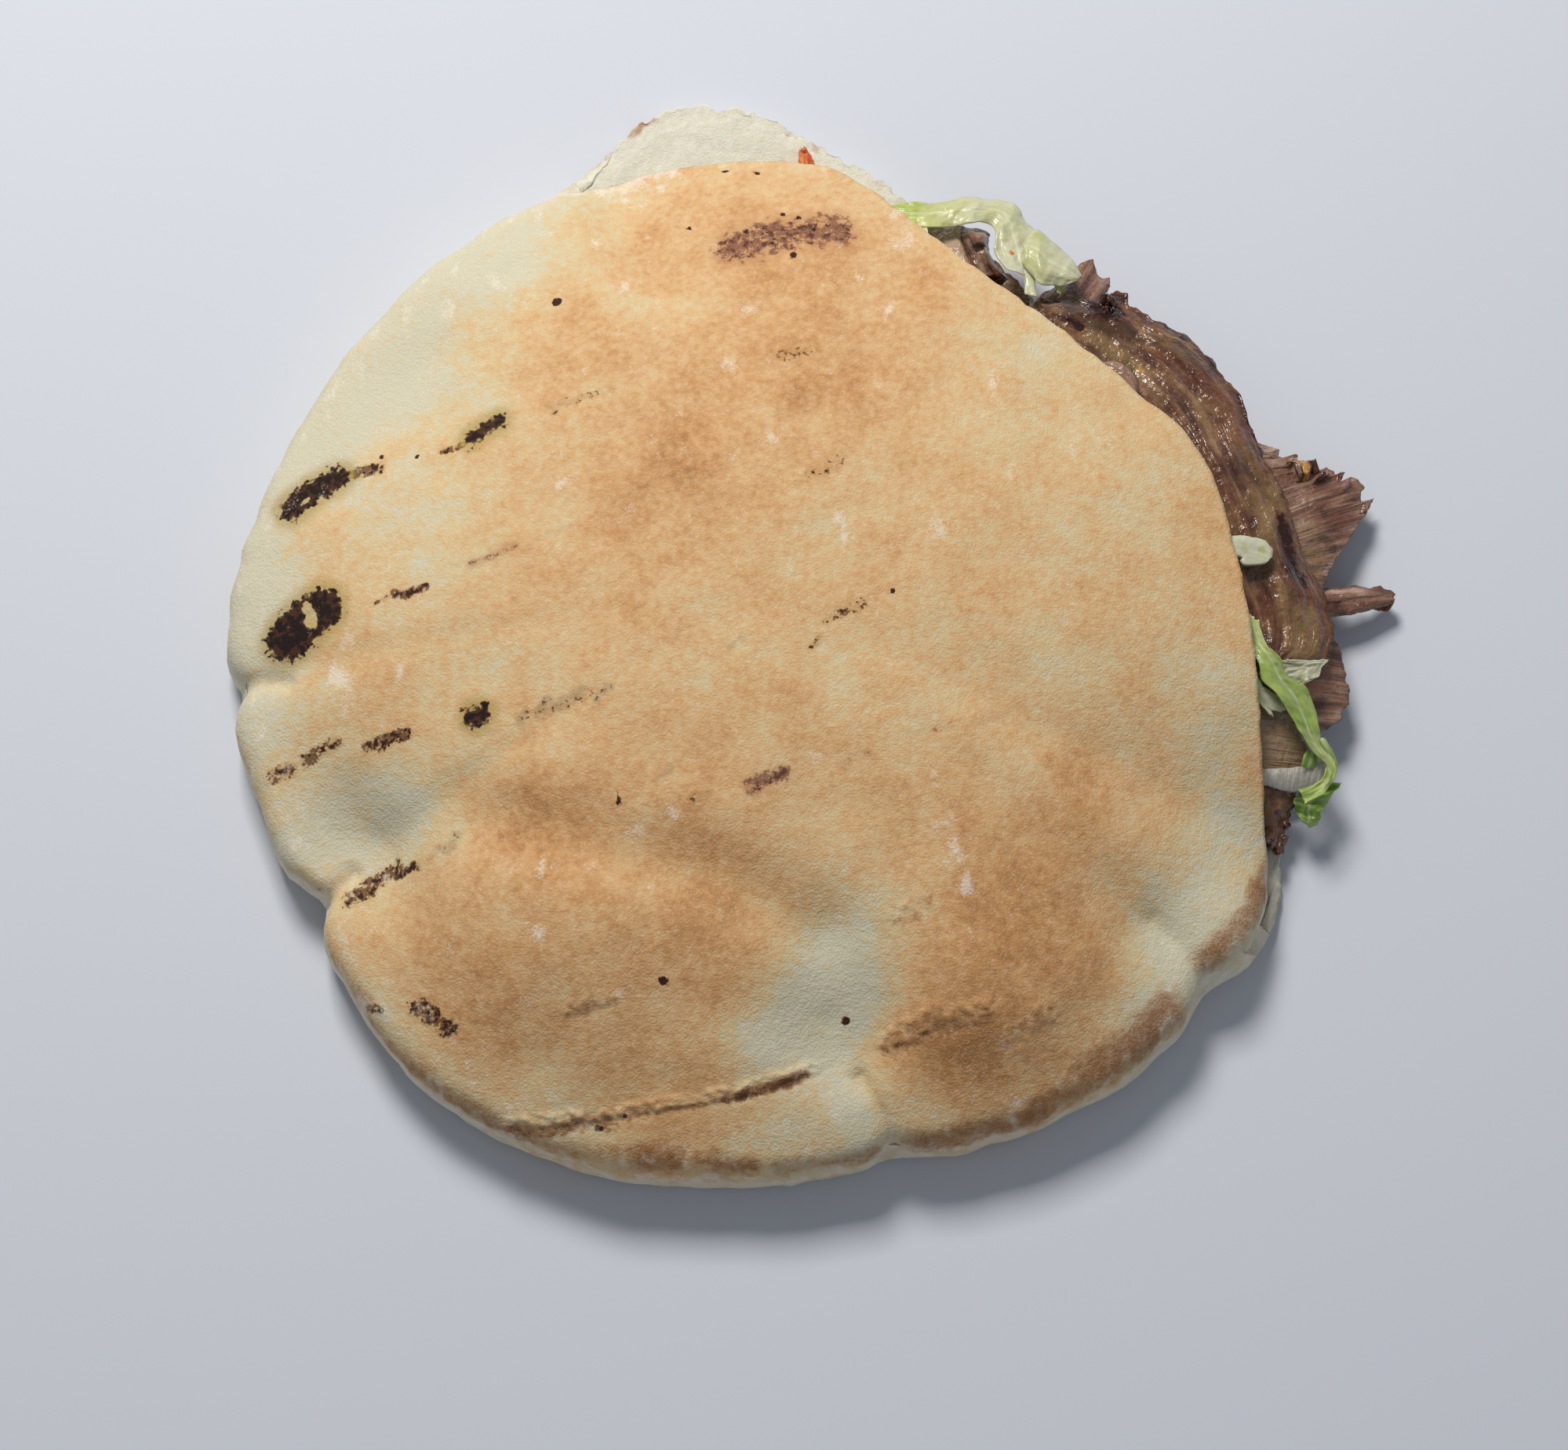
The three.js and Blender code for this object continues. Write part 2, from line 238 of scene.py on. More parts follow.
# The bread's own shape, shared with the filling that lies against it.
# Rings go anticlockwise from +X in steps of 10 degrees, in mm from the centre.
closedRim = [  # both layers share it
    96.8, 96.8, 96.6, 96.5, 97, 98.5, 100, 99.9, 98.8, 99.5,
    101.2, 105, 106.9, 107, 106.2, 105.4, 104.5, 106, 108.7, 110.7]
pita = {
    "centre": (-12, -2),
    "crown": cadBox[1][2] / mm,
    "wall": 3,
    "rimHeight": 5,
    "noseHeight": 8.5,
    "noseStart": 0.95,
    "curlStart": 0.93,
    "domePower": 2.2,
    "upperReach": [92.5, 90.7, 89.3, 84, 80.6, 79.5, 80.5, 85.4, 92.5, 94, 95.3, 96.2,
                   *closedRim, 111, 110.2, 101.4, 95.6],
    "lowerReach": [98.5, 97, 94.5, 91, 89, 88.5, 90, 95, 100.8, 109.6, 111, 100.8,
                   *closedRim, 111.4, 113, 106.5, 101],
    "edgeHeight": [24, 24.7, 25.2, 25.5, 25.6, 25.5, 24.5, 21, 17, 13.5, 10, 6.2,
                   *[5] * 21, 6.8, 15, 21.5],
    "mouth": {"from": -35, "to": 116, "blend": 12},
    "torn": 0.955,  # past this share of its reach the lower layer's edge is torn
    "folds": [(187, 2.2, 2.5), (213, 4, 3), (284.6, 1.8, 2.5), (320.6, 2.4, 3)],  # angle, depth, width
    "humps": [  # x, y, height, spread
        (-46, -64, 4.5, 21), (32, -77, 3.5, 21), (-80, 44, -3, 20),
        (4, -81, -4.4, 13), (-87, -47, -8, 14), (64, -61, -4, 13)],
    "creases": [  # path, depth, width
        ([(15, -104), (11, -95), (7.5, -89)], 1.2, 1.6), ([(8, -90), (3, -79)], 0.4, 2.8),
        ([(-110, -14), (-104, -13.5), (-99, -14.5)], 0.9, 1.6),
        ([(-95, -57), (-90, -54), (-86, -50)], 1.3, 1.8),
        ([(74, -73), (68, -66), (62, -60)], 0.9, 2.2),
        ([(-62, -43), (-40, -49), (-18, -54), (0, -64)], 2.6, 7)],
    "bumps": {  # each as height, size in mm and seed
        "crust": [(0.55, 26, 1), (0.3, 10, 2), (0.1, 4, 4)], "rim": [(0.25, 6, 6), (0.12, 2.4, 7)],
        "crumb": [(0.25, 5, 9), (0.1, 1.7, 11), (0.07, 0.8, 12)],
        "cut": [(1.1, 5, 3), (0.9, 1.8, 5)], "outline": [(0.7, 9, 13), (0.35, 3.5, 14)],
        "tear": [(1.2, 3.4, 15), (1.1, 1.3, 16)]},
    "toast": 0.54,  # how brown the crust is where no patch makes it paler or darker
    "toastClouds": [(0.12, 22, 21), (0.12, 9, 22)],
    "rimPaler": 0.3,
    "cells": 70,  # along each side of the starting cube
    "finer": (2.1, 0.6),  # how far round a mark each round of subdividing reaches
    "crownShare": 0.6,  # the cube's top covers this share of the radius
}


def openness(angle):  # 1 in the mouth, 0 at the closed rim
    mouth = pita["mouth"]
    middle, half = (mouth["from"] + mouth["to"]) / 2, (mouth["to"] - mouth["from"]) / 2
    away = np.abs((np.degrees(angle) - middle + 540) % 360 - 180)
    return 1 - smooth(away, half - mouth["blend"], half)


def polar(x, y):  # angle and distance from the bread's middle
    dx, dy = x - pita["centre"][0], y - pita["centre"][1]
    return np.arctan2(dy, dx), np.hypot(dx, dy)


def placeAt(angle, reach):  # x and y from them
    return pita["centre"][0] + reach * np.cos(angle), pita["centre"][1] + reach * np.sin(angle)


def foldDepth(angle):
    depth = 0
    for at, deep, width in pita["folds"]:
        away = (np.degrees(angle) - at + 540) % 360 - 180
        depth = depth + deep * np.exp(-(away / width) ** 2)
    return depth


def upperRadius(angle):
    return ringValue(pita["upperReach"], angle) - foldDepth(angle)


def lowerRadius(angle):
    return ringValue(pita["lowerReach"], angle) - foldDepth(angle)


def quarterRound(share, start):
    u = np.clip((np.minimum(share, 1) - start) / (1 - start), 0, 1)
    return (1 - u ** 2.8) ** (1 / 2.8)


def upperSkin(angle, share, x, y):  # height of the upper layer's outside
    edge = ringValue(pita["edgeHeight"], angle)
    nose = pita["noseHeight"] * (1 - openness(angle))
    rise = 1 - np.minimum(share, 1) ** pita["domePower"]
    z = edge + nose * quarterRound(share, pita["noseStart"]) + (pita["crown"] - edge - nose) * rise
    for hx, hy, height, spread in pita["humps"]:
        z = z + height * np.exp(-((x - hx) ** 2 + (y - hy) ** 2) / spread ** 2) * np.minimum(1, 3 * rise)
    return z


def lowerSkin(angle, share):  # height of the lower layer's outside
    closed = pita["rimHeight"] * (1 - quarterRound(share, pita["curlStart"])) * (1 - openness(angle))
    return closed + 1.2 * openness(angle) * smooth(share, 0.9, 1.05)


def level(x, y, share):  # height between the pocket's floor, 0, and its roof, 1, sagging past the lip
    angle, reach = polar(x, y)
    radius = upperRadius(angle)
    past = np.maximum(0, reach - radius)
    roof = upperSkin(angle, reach / radius, x, y) - pita["wall"] - (0.3 + 0.004 * past) * past
    ground = pita["wall"] + 0.3
    return ground + share * (roof - ground)


# What the oven and the grill left on the crust: paths of x and y in mm, half width, strength
marks = {
    "char": [  # black bars of the grill
        ([(-90, 26), (-82, 26.5)], 1.3, 0.8), ([(-70, 28.5), (-66, 30)], 0.8, 0.6),
        ([(-78, 0), (-72, 1)], 1.2, 0.8), ([(-82, -1), (-78, 0)], 0.8, 0.5),
        ([(-83, -28), (-76, -26)], 1.5, 0.75), ([(-95, -29), (-89, -27)], 1.8, 0.65),
        ([(-101.5, -32), (-98, -31)], 1.8, 0.6), ([(-86, -55), (-82, -52), (-78, -50)], 2.3, 0.72),
        ([(-77, -51), (-74, -50)], 1.2, 0.8), ([(-73, -76), (-67.5, -79.5)], 2.5, 0.7),
        ([(-83, -75), (-80, -76)], 1, 0.7), ([(2, -8), (8, -4)], 1.3, 0.5),
        ([(-2, -13), (0, -11)], 0.8, 0.5), ([(-54, -25), (-42, -21)], 1.6, 0.4),
        ([(-7, 45), (1, 47)], 1.4, 0.5), ([(-46, 37), (-38, 39)], 1.2, 0.42),
        ([(-3, 19), (5, 24)], 1.6, 0.42), ([(-24, -41), (-20, -39)], 1.2, 0.4)],
    "blot": [  # burnt right through: solid, with a sharp edge
        ([(-98.6, -6), (-92.6, -1.2)], 4.6, 1), ([(-99, 20), (-95, 23.2), (-90.5, 25.4)], 2.7, 1),
        ([(-64.5, 30.8), (-59.5, 33.8)], 1.7, 1), ([(-62.4, -24.2), (-61.8, -23.9)], 2.2, 1)],
    "bare": [  # holes in a blot
        ([(-95, -1.2), (-94.3, -3.6)], 1.5, 1.2), ([(-100, -5), (-98.6, -4.6)], 0.8, 0.7),
        ([(-97, 21), (-96, 21.6)], 0.5, 0.7)],
    "smudge": [  # soot beside them
        ([(-54, -25.6), (-53, -23.6)], 1.1, 0.8), ([(-50.6, -24.2), (-48.8, -22)], 1.2, 0.9),
        ([(-47.4, -23), (-43, -20)], 1.3, 0.7), ([(-39.8, -22.2), (-38, -20)], 1.2, 0.9),
        ([(-50, 36), (-46, 37)], 0.8, 0.6), ([(-29.4, -37.4), (-26.6, -34.6)], 0.9, 0.7),
        ([(-16, -13), (-13, -11)], 0.8, 0.6), ([(-68, -47.6), (-66, -45.4)], 1.3, 0.8)],
    "singe": [  # on the torn edge: angle and spread in degrees, strength
        (101.6, 2.2, 1), (93, 1.4, 0.5), (86.2, 0.7, 0.7), (83, 0.8, 0.7), (106, 0.8, 0.6), (75, 1, 0.5)],
    "scorch": [  # brown bars
        ([(-15, 70.6), (-7, 73), (4, 74)], 5.4, 0.85), ([(-12, -38), (-6, -36)], 2, 0.9),
        ([(5, -34), (9, -32)], 1.6, 0.5), ([(17, -29), (35, -24)], 1.5, 0.4),
        ([(-64, 5), (-56, 8)], 1.4, 0.6), ([(-52, 9), (-44, 12)], 1, 0.4),
        ([(13, 25.5), (15, 26.5)], 1, 0.4), ([(-42, -77.6), (-40, -77)], 1, 0.5),
        ([(-71, -49), (-69, -47)], 1.2, 0.5), ([(-54, -44), (-40, -38)], 1, 0.25),
        ([(-37, -15), (-20, -9)], 1, 0.25), ([(-96, -55), (-90, -52)], 2, 0.4),
        ([(-56, -98), (-54, -97.6)], 1.6, 0.6)],
    "flake": [  # loosened skin, dry and brown
        ([(-56, -98.4), (-46, -98), (-38, -96.8)], 2, 1), ([(-36, -96.4), (-16, -93.4)], 1, 0.75),
        ([(-17, -93.4), (-2, -88.8)], 1.2, 1.3), ([(13, -84), (21, -80), (30, -79)], 2.6, 0.9),
        ([(35, -82), (42, -78)], 2.4, 0.6), ([(14, -61), (20, -59)], 2.4, 0.6),
        ([(-45, -78), (-37, -76)], 1.8, 0.7), ([(-31, -84), (-26, -82)], 2, 0.3)],
    "scab": [  # raised, flaky skin: path, half width, height
        ([(-57, -97), (-38, -95.4), (-15, -92), (-1, -87.4)], 1.3, 0.45),
        ([(13, -83), (21, -79), (31, -78)], 2.4, 0.35), ([(35, -82), (42, -78)], 2.4, 0.25),
        ([(14, -61), (20, -59)], 2, 0.2), ([(-45, -78), (-37, -76)], 1.4, 0.25)],
    "speck": [  # x, y, radius
        (-4, 68, 0.7), (-6, 78, 0.5), (-3, 77, 0.5), (-49, 59, 1), (-17, 90, 0.4), (-11, 89, 0.4),
        (-82, 29, 0.5), (-75, 28, 0.4), (5, -79, 0.8), (-80, -76, 0.5), (-40, -98, 0.6), (-35, -96, 0.4),
        (-28, -73, 0.8), (14, -2, 0.5), (-36, -41, 0.5), (-13, 74, 0.5), (0, 74, 0.5), (-24, 76, 0.4),
        (-8, 71, 0.4)],
    "rimBrown": [
        ([(-110, -20), (-107, -33), (-103, -42)], 2.4, 0.6),
        ([(-94, -62), (-87, -70), (-83, -74)], 2.4, 0.7),
        ([(-84, -77), (-79, -84), (-69, -91.5), (-57, -98.5)], 3, 0.85),
        ([(-52, -100), (-44, -101), (-34, -102.6)], 2.2, 0.75), ([(-33, -102), (-26, -103.4)], 2.6, 0.95),
        ([(-20, -103.4), (-12, -104.4)], 2.2, 0.9), ([(-8, -104.4), (2, -104), (11, -102)], 1.8, 0.8),
        ([(17, -101), (35, -97.4), (48, -90)], 3, 0.95), ([(48, -89), (56, -84), (64, -76)], 4, 1),
        ([(71, -67), (79, -59.5), (85, -49)], 3, 0.95), ([(-112, 4), (-111, -8)], 1.4, 0.3)],
    "pale": [  # x, y, radius, strength
        (-80, 46, 20, 0.55), (2, -76, 11, 0.9), (-10, -84, 9, 0.45), (-87, -41, 12, 0.45),
        (66, -61, 11, 0.6), (-103, 0, 13, 0.5), (-96, 28, 12, 0.4), (-68, 72, 14, 0.35),
        (-104, -22, 9, 0.3), (75, -42, 9, 0.5), (-73, -41, 9, 0.4), (-56, 67, 13, 0.4), (8, -95, 8, 0.4),
        (-60, 40, 14, 0.1), (-76, 12, 14, 0.25), (-62, -12, 14, 0.2), (72, -20, 16, 0.25),
        (56, 14, 14, 0.2), (-10, 84, 14, 0.1), (40, 44, 12, 0.25), (5, -60, 9, 0.3), (12, -10, 22, 0.12),
        (54, -22, 10, 0.15)],
    "toastedAndShaded": [  # x, y, radius, strength: browner crust, and one dab of painted shade
        (-26, 15, 16, 0.2), (-50, -46, 12, 0.35), (-22, -64, 16, 0.3), (41, -66, 15, 0.35),
        (52, -40, 10, 0.3), (27, -86, 11, 0.6), (12, 38, 14, 0.15), (-2, 46, 12, 0.15), (30, -54, 14, 0.2),
        (-60, -76, 13, 0.3), (-2, 68, 16, 0.2), (-50, 50, 13, 0.25), (46, -90, 9, 0.4), (26, 66, 9, 0.15),
        (-68, 30, 8, 0.15), (-88, -62, 9, 0.3), (-100, -34, 7, 0.3), (82, -34, 6, 0.2), (76, 4, 14, 0.1),
        # the last dab, below the scab ridge by the bottom rim, is painted shade where the crust turns down
        # away from the light
        (-20, 84, 16, 0.2), (-18, 32, 11, 0.2), (-72, -61, 9, 0.2), (18, -80, 6, 0.3), (-28, -98, 9, 0.45)],
    "flour": [  # x, y, radius
        (4, 11, 2.4), (22, 10, 2.6), (35, 20, 1.8), (0, -33, 1.3), (-5, 2, 1.2), (21, -37, 1.8),
        (-7, -8, 1), (-19, -5, 1.2), (-34, 13, 1.6), (25, -49, 3), (24, -43, 2.2), (27, -56, 2),
        (-89, -15, 3), (-87, -20, 2.4), (8, 63, 2.2), (-88, -10, 2), (-77, -14, 1.6), (-96, -44, 2),
        (-33, -46, 2), (-27, -44, 2), (-36, 62, 1.8), (-12, 56, 2), (14, 56, 1.6), (-66, -18, 1.4),
        (-8, 28, 1.4), (34, 40, 1.8), (48, 26, 1.4), (-17, 44, 1.6), (-42, 72, 2), (-60, 65, 2.4),
        (-51, -65, 2.4), (17, 74, 3), (21, 70, 2), (-54, 60, 1.6), (-30, 52, 1.4), (2, -94, 2.6),
        (-47, 20, 1.4), (60, -10, 1.2), (50, -2, 1.2), (-30, -20, 1.2), (-50, -54, 1.6), (-70, 60, 2),
        (-76, 66, 1.6)],
}


def buildBread():
    cells = pita["cells"]
    bpy.ops.mesh.primitive_cube_add(size=2)
    piece = started("pita")
    mesh = piece.data
    bpy.ops.object.mode_set(mode="EDIT")
    bpy.ops.mesh.select_all(action="SELECT")
    bpy.ops.mesh.subdivide(number_cuts=cells - 1)
    bpy.ops.mesh.select_all(action="DESELECT")
    bpy.ops.object.mode_set(mode="OBJECT")

    # The slit of the mouth: one row of faces just above the cube's waist
    for face in mesh.polygons:
        x, y, z = face.center
        if 0 < z < 2 / cells and openness(math.atan2(y, x)) > 0.02:
            face.select = True
    bpy.ops.object.mode_set(mode="EDIT")
    bpy.ops.mesh.delete(type="FACE")
    bpy.ops.object.mode_set(mode="OBJECT")

    # The cube becomes the flattened, domed round
    x, y, z = (readPoints(mesh) * mm).T
    ring = np.maximum(np.abs(x), np.abs(y))
    small = np.where(np.abs(x) > np.abs(y), y, x) / np.maximum(ring, 1e-9)
    quarter = np.where(y > 0, np.pi / 2, -np.pi / 2)
    sector = np.where(np.abs(x) > np.abs(y), np.where(x > 0, 0, np.pi), quarter)
    turn = np.where(np.abs(x) > np.abs(y), np.sign(x), -np.sign(y))
    angle = sector + turn * small * np.pi / 4
    gape = openness(angle)
    upper = z > 1e-6
    down = np.where(np.abs(z) > 1 - 1e-6, 0, 1 - np.abs(z))
    down = np.where(upper, np.minimum(1, down / (1 - 2 / cells * smooth(gape, 0, 0.02))), down)
    down = np.minimum(1, down + 0.35 * down * (1 - down))  # the rows crowd towards the rim
    crown = pita["crownShare"]
    share = np.where(down > 0, crown + (1 - crown) * down, ring * crown)
    radius = np.where(upper, upperRadius(angle), lowerRadius(angle))
    torn = gape * smooth(share, 0.9, 1) * np.where(upper, 0.35, 1)
    edge = np.stack([np.cos(angle), np.sin(angle), 0.1 * upper * gape], 1) * 100
    ragged = lumps(edge, *pita["bumps"]["cut"])
    dented = lumps(edge, *pita["bumps"]["outline"])
    reach = share * radius + torn * ragged + (1 - gape) * smooth(share, 0.85, 1) * dented
    px, py = placeAt(angle, reach)
    pz = np.where(upper, upperSkin(angle, share, px, py), lowerSkin(angle, share))
    writePoints(mesh, np.stack([px, py, pz], 1))
    paint(mesh, "crumb", np.zeros(len(px)))

    # The wall gets its thickness inwards, and thins out at the cut and torn edges
    thicken(piece, pita["wall"], 1 - np.where(upper, 0.35, 0.25) * gape * smooth(share, 0.94, 1))
    inner = np.arange(len(mesh.vertices)) >= len(px)
    paint(mesh, "crumb", inner.astype(float))

    # A finer mesh, in two rounds, where the crust has marks and creases and where the edge is torn
    lines = [line[:2] for kind in ("blot", "char", "scorch", "smudge", "scab") for line in marks[kind]]
    lines += [(path, width) for path, depth, width in pita["creases"] if width < 3]
    lines += [([(x, y)], size) for x, y, size in marks["speck"]]
    for margin in pita["finer"]:
        bpy.ops.object.mode_set(mode="OBJECT")
        points = readPoints(mesh)
        inside = readPaint(mesh, "crumb") > 0.01
        near = np.zeros(len(points), bool)
        for path, width in lines:
            near |= distanceTo(points[:, 0], points[:, 1], path) < width + margin
        angle, reach = polar(points[:, 0], points[:, 1])
        torn = reach > lowerRadius(angle) * pita["torn"]
        shown = torn | inside & (reach > upperRadius(angle) - 3) & (margin == pita["finer"][0])
        tongue = (openness(angle) > 0.5) & shown & (points[:, 2] < 7)
        near = near & ~inside & (points[:, 2] > 6) | tongue
        for face in mesh.polygons:
            face.select = all(near[v] for v in face.vertices)
        bpy.ops.object.mode_set(mode="EDIT")
        bpy.ops.mesh.subdivide(number_cuts=1)
        bpy.ops.mesh.select_all(action="DESELECT")
    bpy.ops.object.mode_set(mode="OBJECT")
    return piece


def shapeBreadSurface(mesh):
    points, normals = readPoints(mesh), readNormals(mesh)
    x, y, z = points.T
    crumb = readPaint(mesh, "crumb")
    angle, reach = polar(x, y)
    top = (1 - crumb) * smooth(z, 5, 11)
    rim = (1 - crumb) * (1 - smooth(z, 9, 15))
    out = lumps(points, *pita["bumps"]["crust"]) * top
    out += lumps(points, *pita["bumps"]["rim"]) * rim * smooth(z, 0.3, 2)
    for path, depth, width in pita["creases"]:
        out -= depth * np.exp(-(distanceTo(x, y, path) / width) ** 2) * top
    for path, width, height in marks["scab"]:
        lump = smooth(rough(points, 1.4, 8), -0.5, 0.5)
        out += height * lump * (1 - smooth(distanceTo(x, y, path), width * 0.5, width * 1.3)) * top
        out -= 0.3 * height * np.exp(-(distanceTo(x, y + width, path) / 0.7) ** 2) * top
    inside = lumps(points, *pita["bumps"]["crumb"])
    points += normals * (out + crumb * inside * smooth(z, 0.5, 2))[:, None]
    flat = points * (1, 1, 0)
    tear = openness(angle) * smooth(reach / lowerRadius(angle), 0.95, 1) * (z < 8)
    tear *= lumps(flat, *pita["bumps"]["tear"])
    points += np.stack([np.cos(angle), np.sin(angle), 0 * angle], 1) * tear[:, None]
    points[:, 2] = np.where(crumb < 0.5, np.maximum(points[:, 2], 0), points[:, 2])
    writePoints(mesh, points)

    # Paint masks
    share = reach / upperRadius(angle)
    toast = pita["toast"] + lumps(points, *pita["toastClouds"])
    toast -= pita["rimPaler"] * smooth(share, 0.8, 0.98) * (1 - 0.75 * openness(angle))
    # darker dabs are browner crust, except the one of painted shade below the scab ridge
    for name, sign in (("pale", -1), ("toastedAndShaded", 1)):
        for px, py, size, strength in marks[name]:
            toast += sign * strength * 0.8 * np.exp(-((x - px) ** 2 + (y - py) ** 2) / size ** 2)
    toast = np.where(z < 7, 0.12 + 0.25 * smooth(rough(points, 18, 23), 0, 0.5), toast)
    masks = {name: np.zeros(len(x)) for name in ("char", "scorch", "flake", "rimBrown", "smudge")}
    swing, jag = rough(points, 5, 31), rough(points, 1.5, 32)
    for name, mask in masks.items():
        for path, width, strength in marks[name]:
            away = distanceTo(x + 0.9 * swing, y - 0.6 * swing, path)
            away += min(width, 2.2) * (0.3 * jag + 0.2 * swing)
            if name == "rimBrown":
                browned = strength * (1 - smooth(away, 0, width * 1.9)) * smooth(z, 6.5, 10)
                np.maximum(mask, browned, out=mask)
            else:
                np.maximum(mask, strength * (1 - smooth(away, width * 0.2, width * 1.5)) * top, out=mask)
    masks["singe"] = np.zeros(len(x))
    for at, spread, strength in marks["singe"]:
        masks["singe"] += strength * np.exp(-((np.degrees(angle) - at) / spread) ** 2)
    masks["singe"] *= smooth(reach / lowerRadius(angle) + 0.008 * jag, 0.965, 0.99) * (z < 8)
    masks["blot"] = np.zeros(len(x))
    for path, width, strength in marks["blot"]:
        edge = 0.5 + (width - distanceTo(x + 0.5 * swing, y, path)) / 6 + 0.04 * jag
        np.maximum(masks["blot"], strength * np.clip(edge, 0, 1) * top, out=masks["blot"])
    for path, width, strength in marks["bare"]:
        away = distanceTo(x, y, path) + 0.4 * jag
        masks["blot"] -= 0.5 * strength * (1 - smooth(away, width * 0.4, width * 1.5))
    for px, py, size in marks["speck"]:
        near = 1 - smooth(np.hypot(x - px, y - py), size * 0.7, size * 1.2)
        np.maximum(masks["char"], 1.3 * near * top, out=masks["char"])
    flour = 0.75 * rim * smooth(z, 0.5, 3)
    flour = np.maximum(flour, 0.22 * (1 - crumb) * smooth(share, 0.85, 0.97) * (1 - openness(angle)))
    for px, py, size in marks["flour"]:
        stretched = np.hypot(x - px, (y - py) / 1.5)
        flour = np.maximum(flour, 0.7 * (1 - smooth(stretched, 0, size * 1.5)) * top)
    paint(mesh, "toast", np.clip(toast, 0, 1.2))
    paint(mesh, "flour", flour)
    for name, mask in masks.items():
        paint(mesh, name, mask)


# Baked pita crust: lean wheat dough baked hard and fast on a floured deck, then pressed on grill bars.
# To the eye it is matt and sandy, pale where it bulged last, golden where it touched heat.
crustLook = {
    "fields": {  # size in mm, detail
        "grain": (0.42, 1), "fleck": (0.9, 1), "freckle": (1.5, 2), "cluster": (2.7, 2), "mottle": (6, 3),
        "cloud": (17, 2), "drift": (3.4, 4, "Object", (1.2, 0.75, 1)), "pores": (1.3, 3)},
    "masks": ["toast", "flour", "rimBrown", "flake", "scorch", "char", "blot", "smudge", "crumb", "singe"],
    "tone": {"toast": 1, "mottle": 0.5, "cloud": 0.4, "freckle": 0.55, "fleck": 0.2, "grain": 0.3},
    "stops": [(0, "#D8D3BA"), (0.25, "#DFC89B"), (0.5, "#DFB582"), (0.72, "#D19E69"), (0.95, "#B78350")],
    "toneStart": -1.03,
    "layers": [  # colour, amount, value where it starts, where it is full, what the value is, only within
        ("#F4E7CD", 0.24, 0.5, 0.7, {"grain": 1}),  # semolina grit
        ("#BC8857", 0.6, 0.6, 1.35, {"rimBrown": 1, "mottle": 0.4, "freckle": 0.2}, "rimBrown"),
        ("#8B5A3C", 0.75, 1.5, 2.3, {"rimBrown": 1, "mottle": 0.7, "freckle": 0.5, "grain": 0.9},
         "rimBrown"),
        ("#DDBB92", 0.5, 1.1, 1.5, {"flake": 0.7, "fleck": 1, "drift": 0.5}, "flake"),
        ("#9C6E43", 0.75, 1.05, 1.5, {"flake": 0.8, "freckle": 1, "mottle": 0.4}, "flake"),
        ("#65402A", 0.85, 1.4, 1.65, {"flake": 0.6, "freckle": 0.6, "cluster": 0.6, "grain": 0.5}, "flake"),
        ("#B8805C", 0.5, 0.1, 0.9, {"scorch": 1}),
        ("#835543", 0.8, 1.72, 1.96, {"scorch": 0.9, "freckle": 0.9, "cluster": 0.9, "grain": 0.6}, "scorch"),
        ("#53302A", 0.85, 1.98, 2.22, {"scorch": 0.9, "freckle": 1.2, "fleck": 0.8, "grain": 0.5}, "scorch"),
        ("#B98F52", 0.5, 0.5, 1.1, {"char": 1, "cluster": 0.5, "freckle": 0.3}, "char"),
        ("#6E452E", 0.85, 1.72, 1.9, {"char": 1, "cluster": 0.8, "fleck": 1.2, "grain": 0.5}, "char"),
        ("#3A2117", 1, 1.9, 2.1, {"char": 1, "freckle": 0.9, "fleck": 1.2, "grain": 0.4}, "char"),
        ("#96866C", 0.42, 0.7, 1.7, {"smudge": 1, "freckle": 1, "grain": 0.3}, "smudge"),
        ("#403A30", 0.8, 1.42, 1.64, {"smudge": 0.7, "fleck": 1.3, "grain": 0.3}, "smudge"),
        ("#B59A52", 0.65, 0.02, 0.5, {"blot": 1}),
        ("#4B2C1C", 1, 0.94, 1.06, {"blot": 1, "freckle": 0.5, "fleck": 0.4}),
        ("#1D1210", 0.95, 1.12, 1.26, {"blot": 0.6, "freckle": 0.9, "fleck": 0.6}),
        ("#F3EBDD", 0.6, 1.9, 2.5, {"flour": 1, "drift": 2.2, "grain": 1}),  # dry flour rubbed into patches
        ("#E2DFCE", 1, 0.15, 0.6, {"crumb": 1}),  # inside, the torn crumb is nearly white
        ("#E9E6D8", 1, 0.62, 0.9, {"pores": 1, "cloud": 0.4}, "crumb"),
        ("#DAD3B4", 0.5, 0.6, 0.45, {"pores": 1, "cloud": 0.4}, "crumb"),
        ("#A8683F", 0.8, 0.7, 1.4, {"singe": 1, "freckle": 0.7}, "singe")],
    "height": {"grain": 0.22, "freckle": 0.12, "mottle": 0.3, "pores": 0.15},
    "bump": (1, 0.75),  # distance in mm, strength
    "surface": {"Roughness": 0.82, "Specular IOR Level": 0.3, "Subsurface Weight": 0.12,
                "Subsurface Radius": (1.0, 0.6, 0.35), "Subsurface Scale": 2 * mm},
}


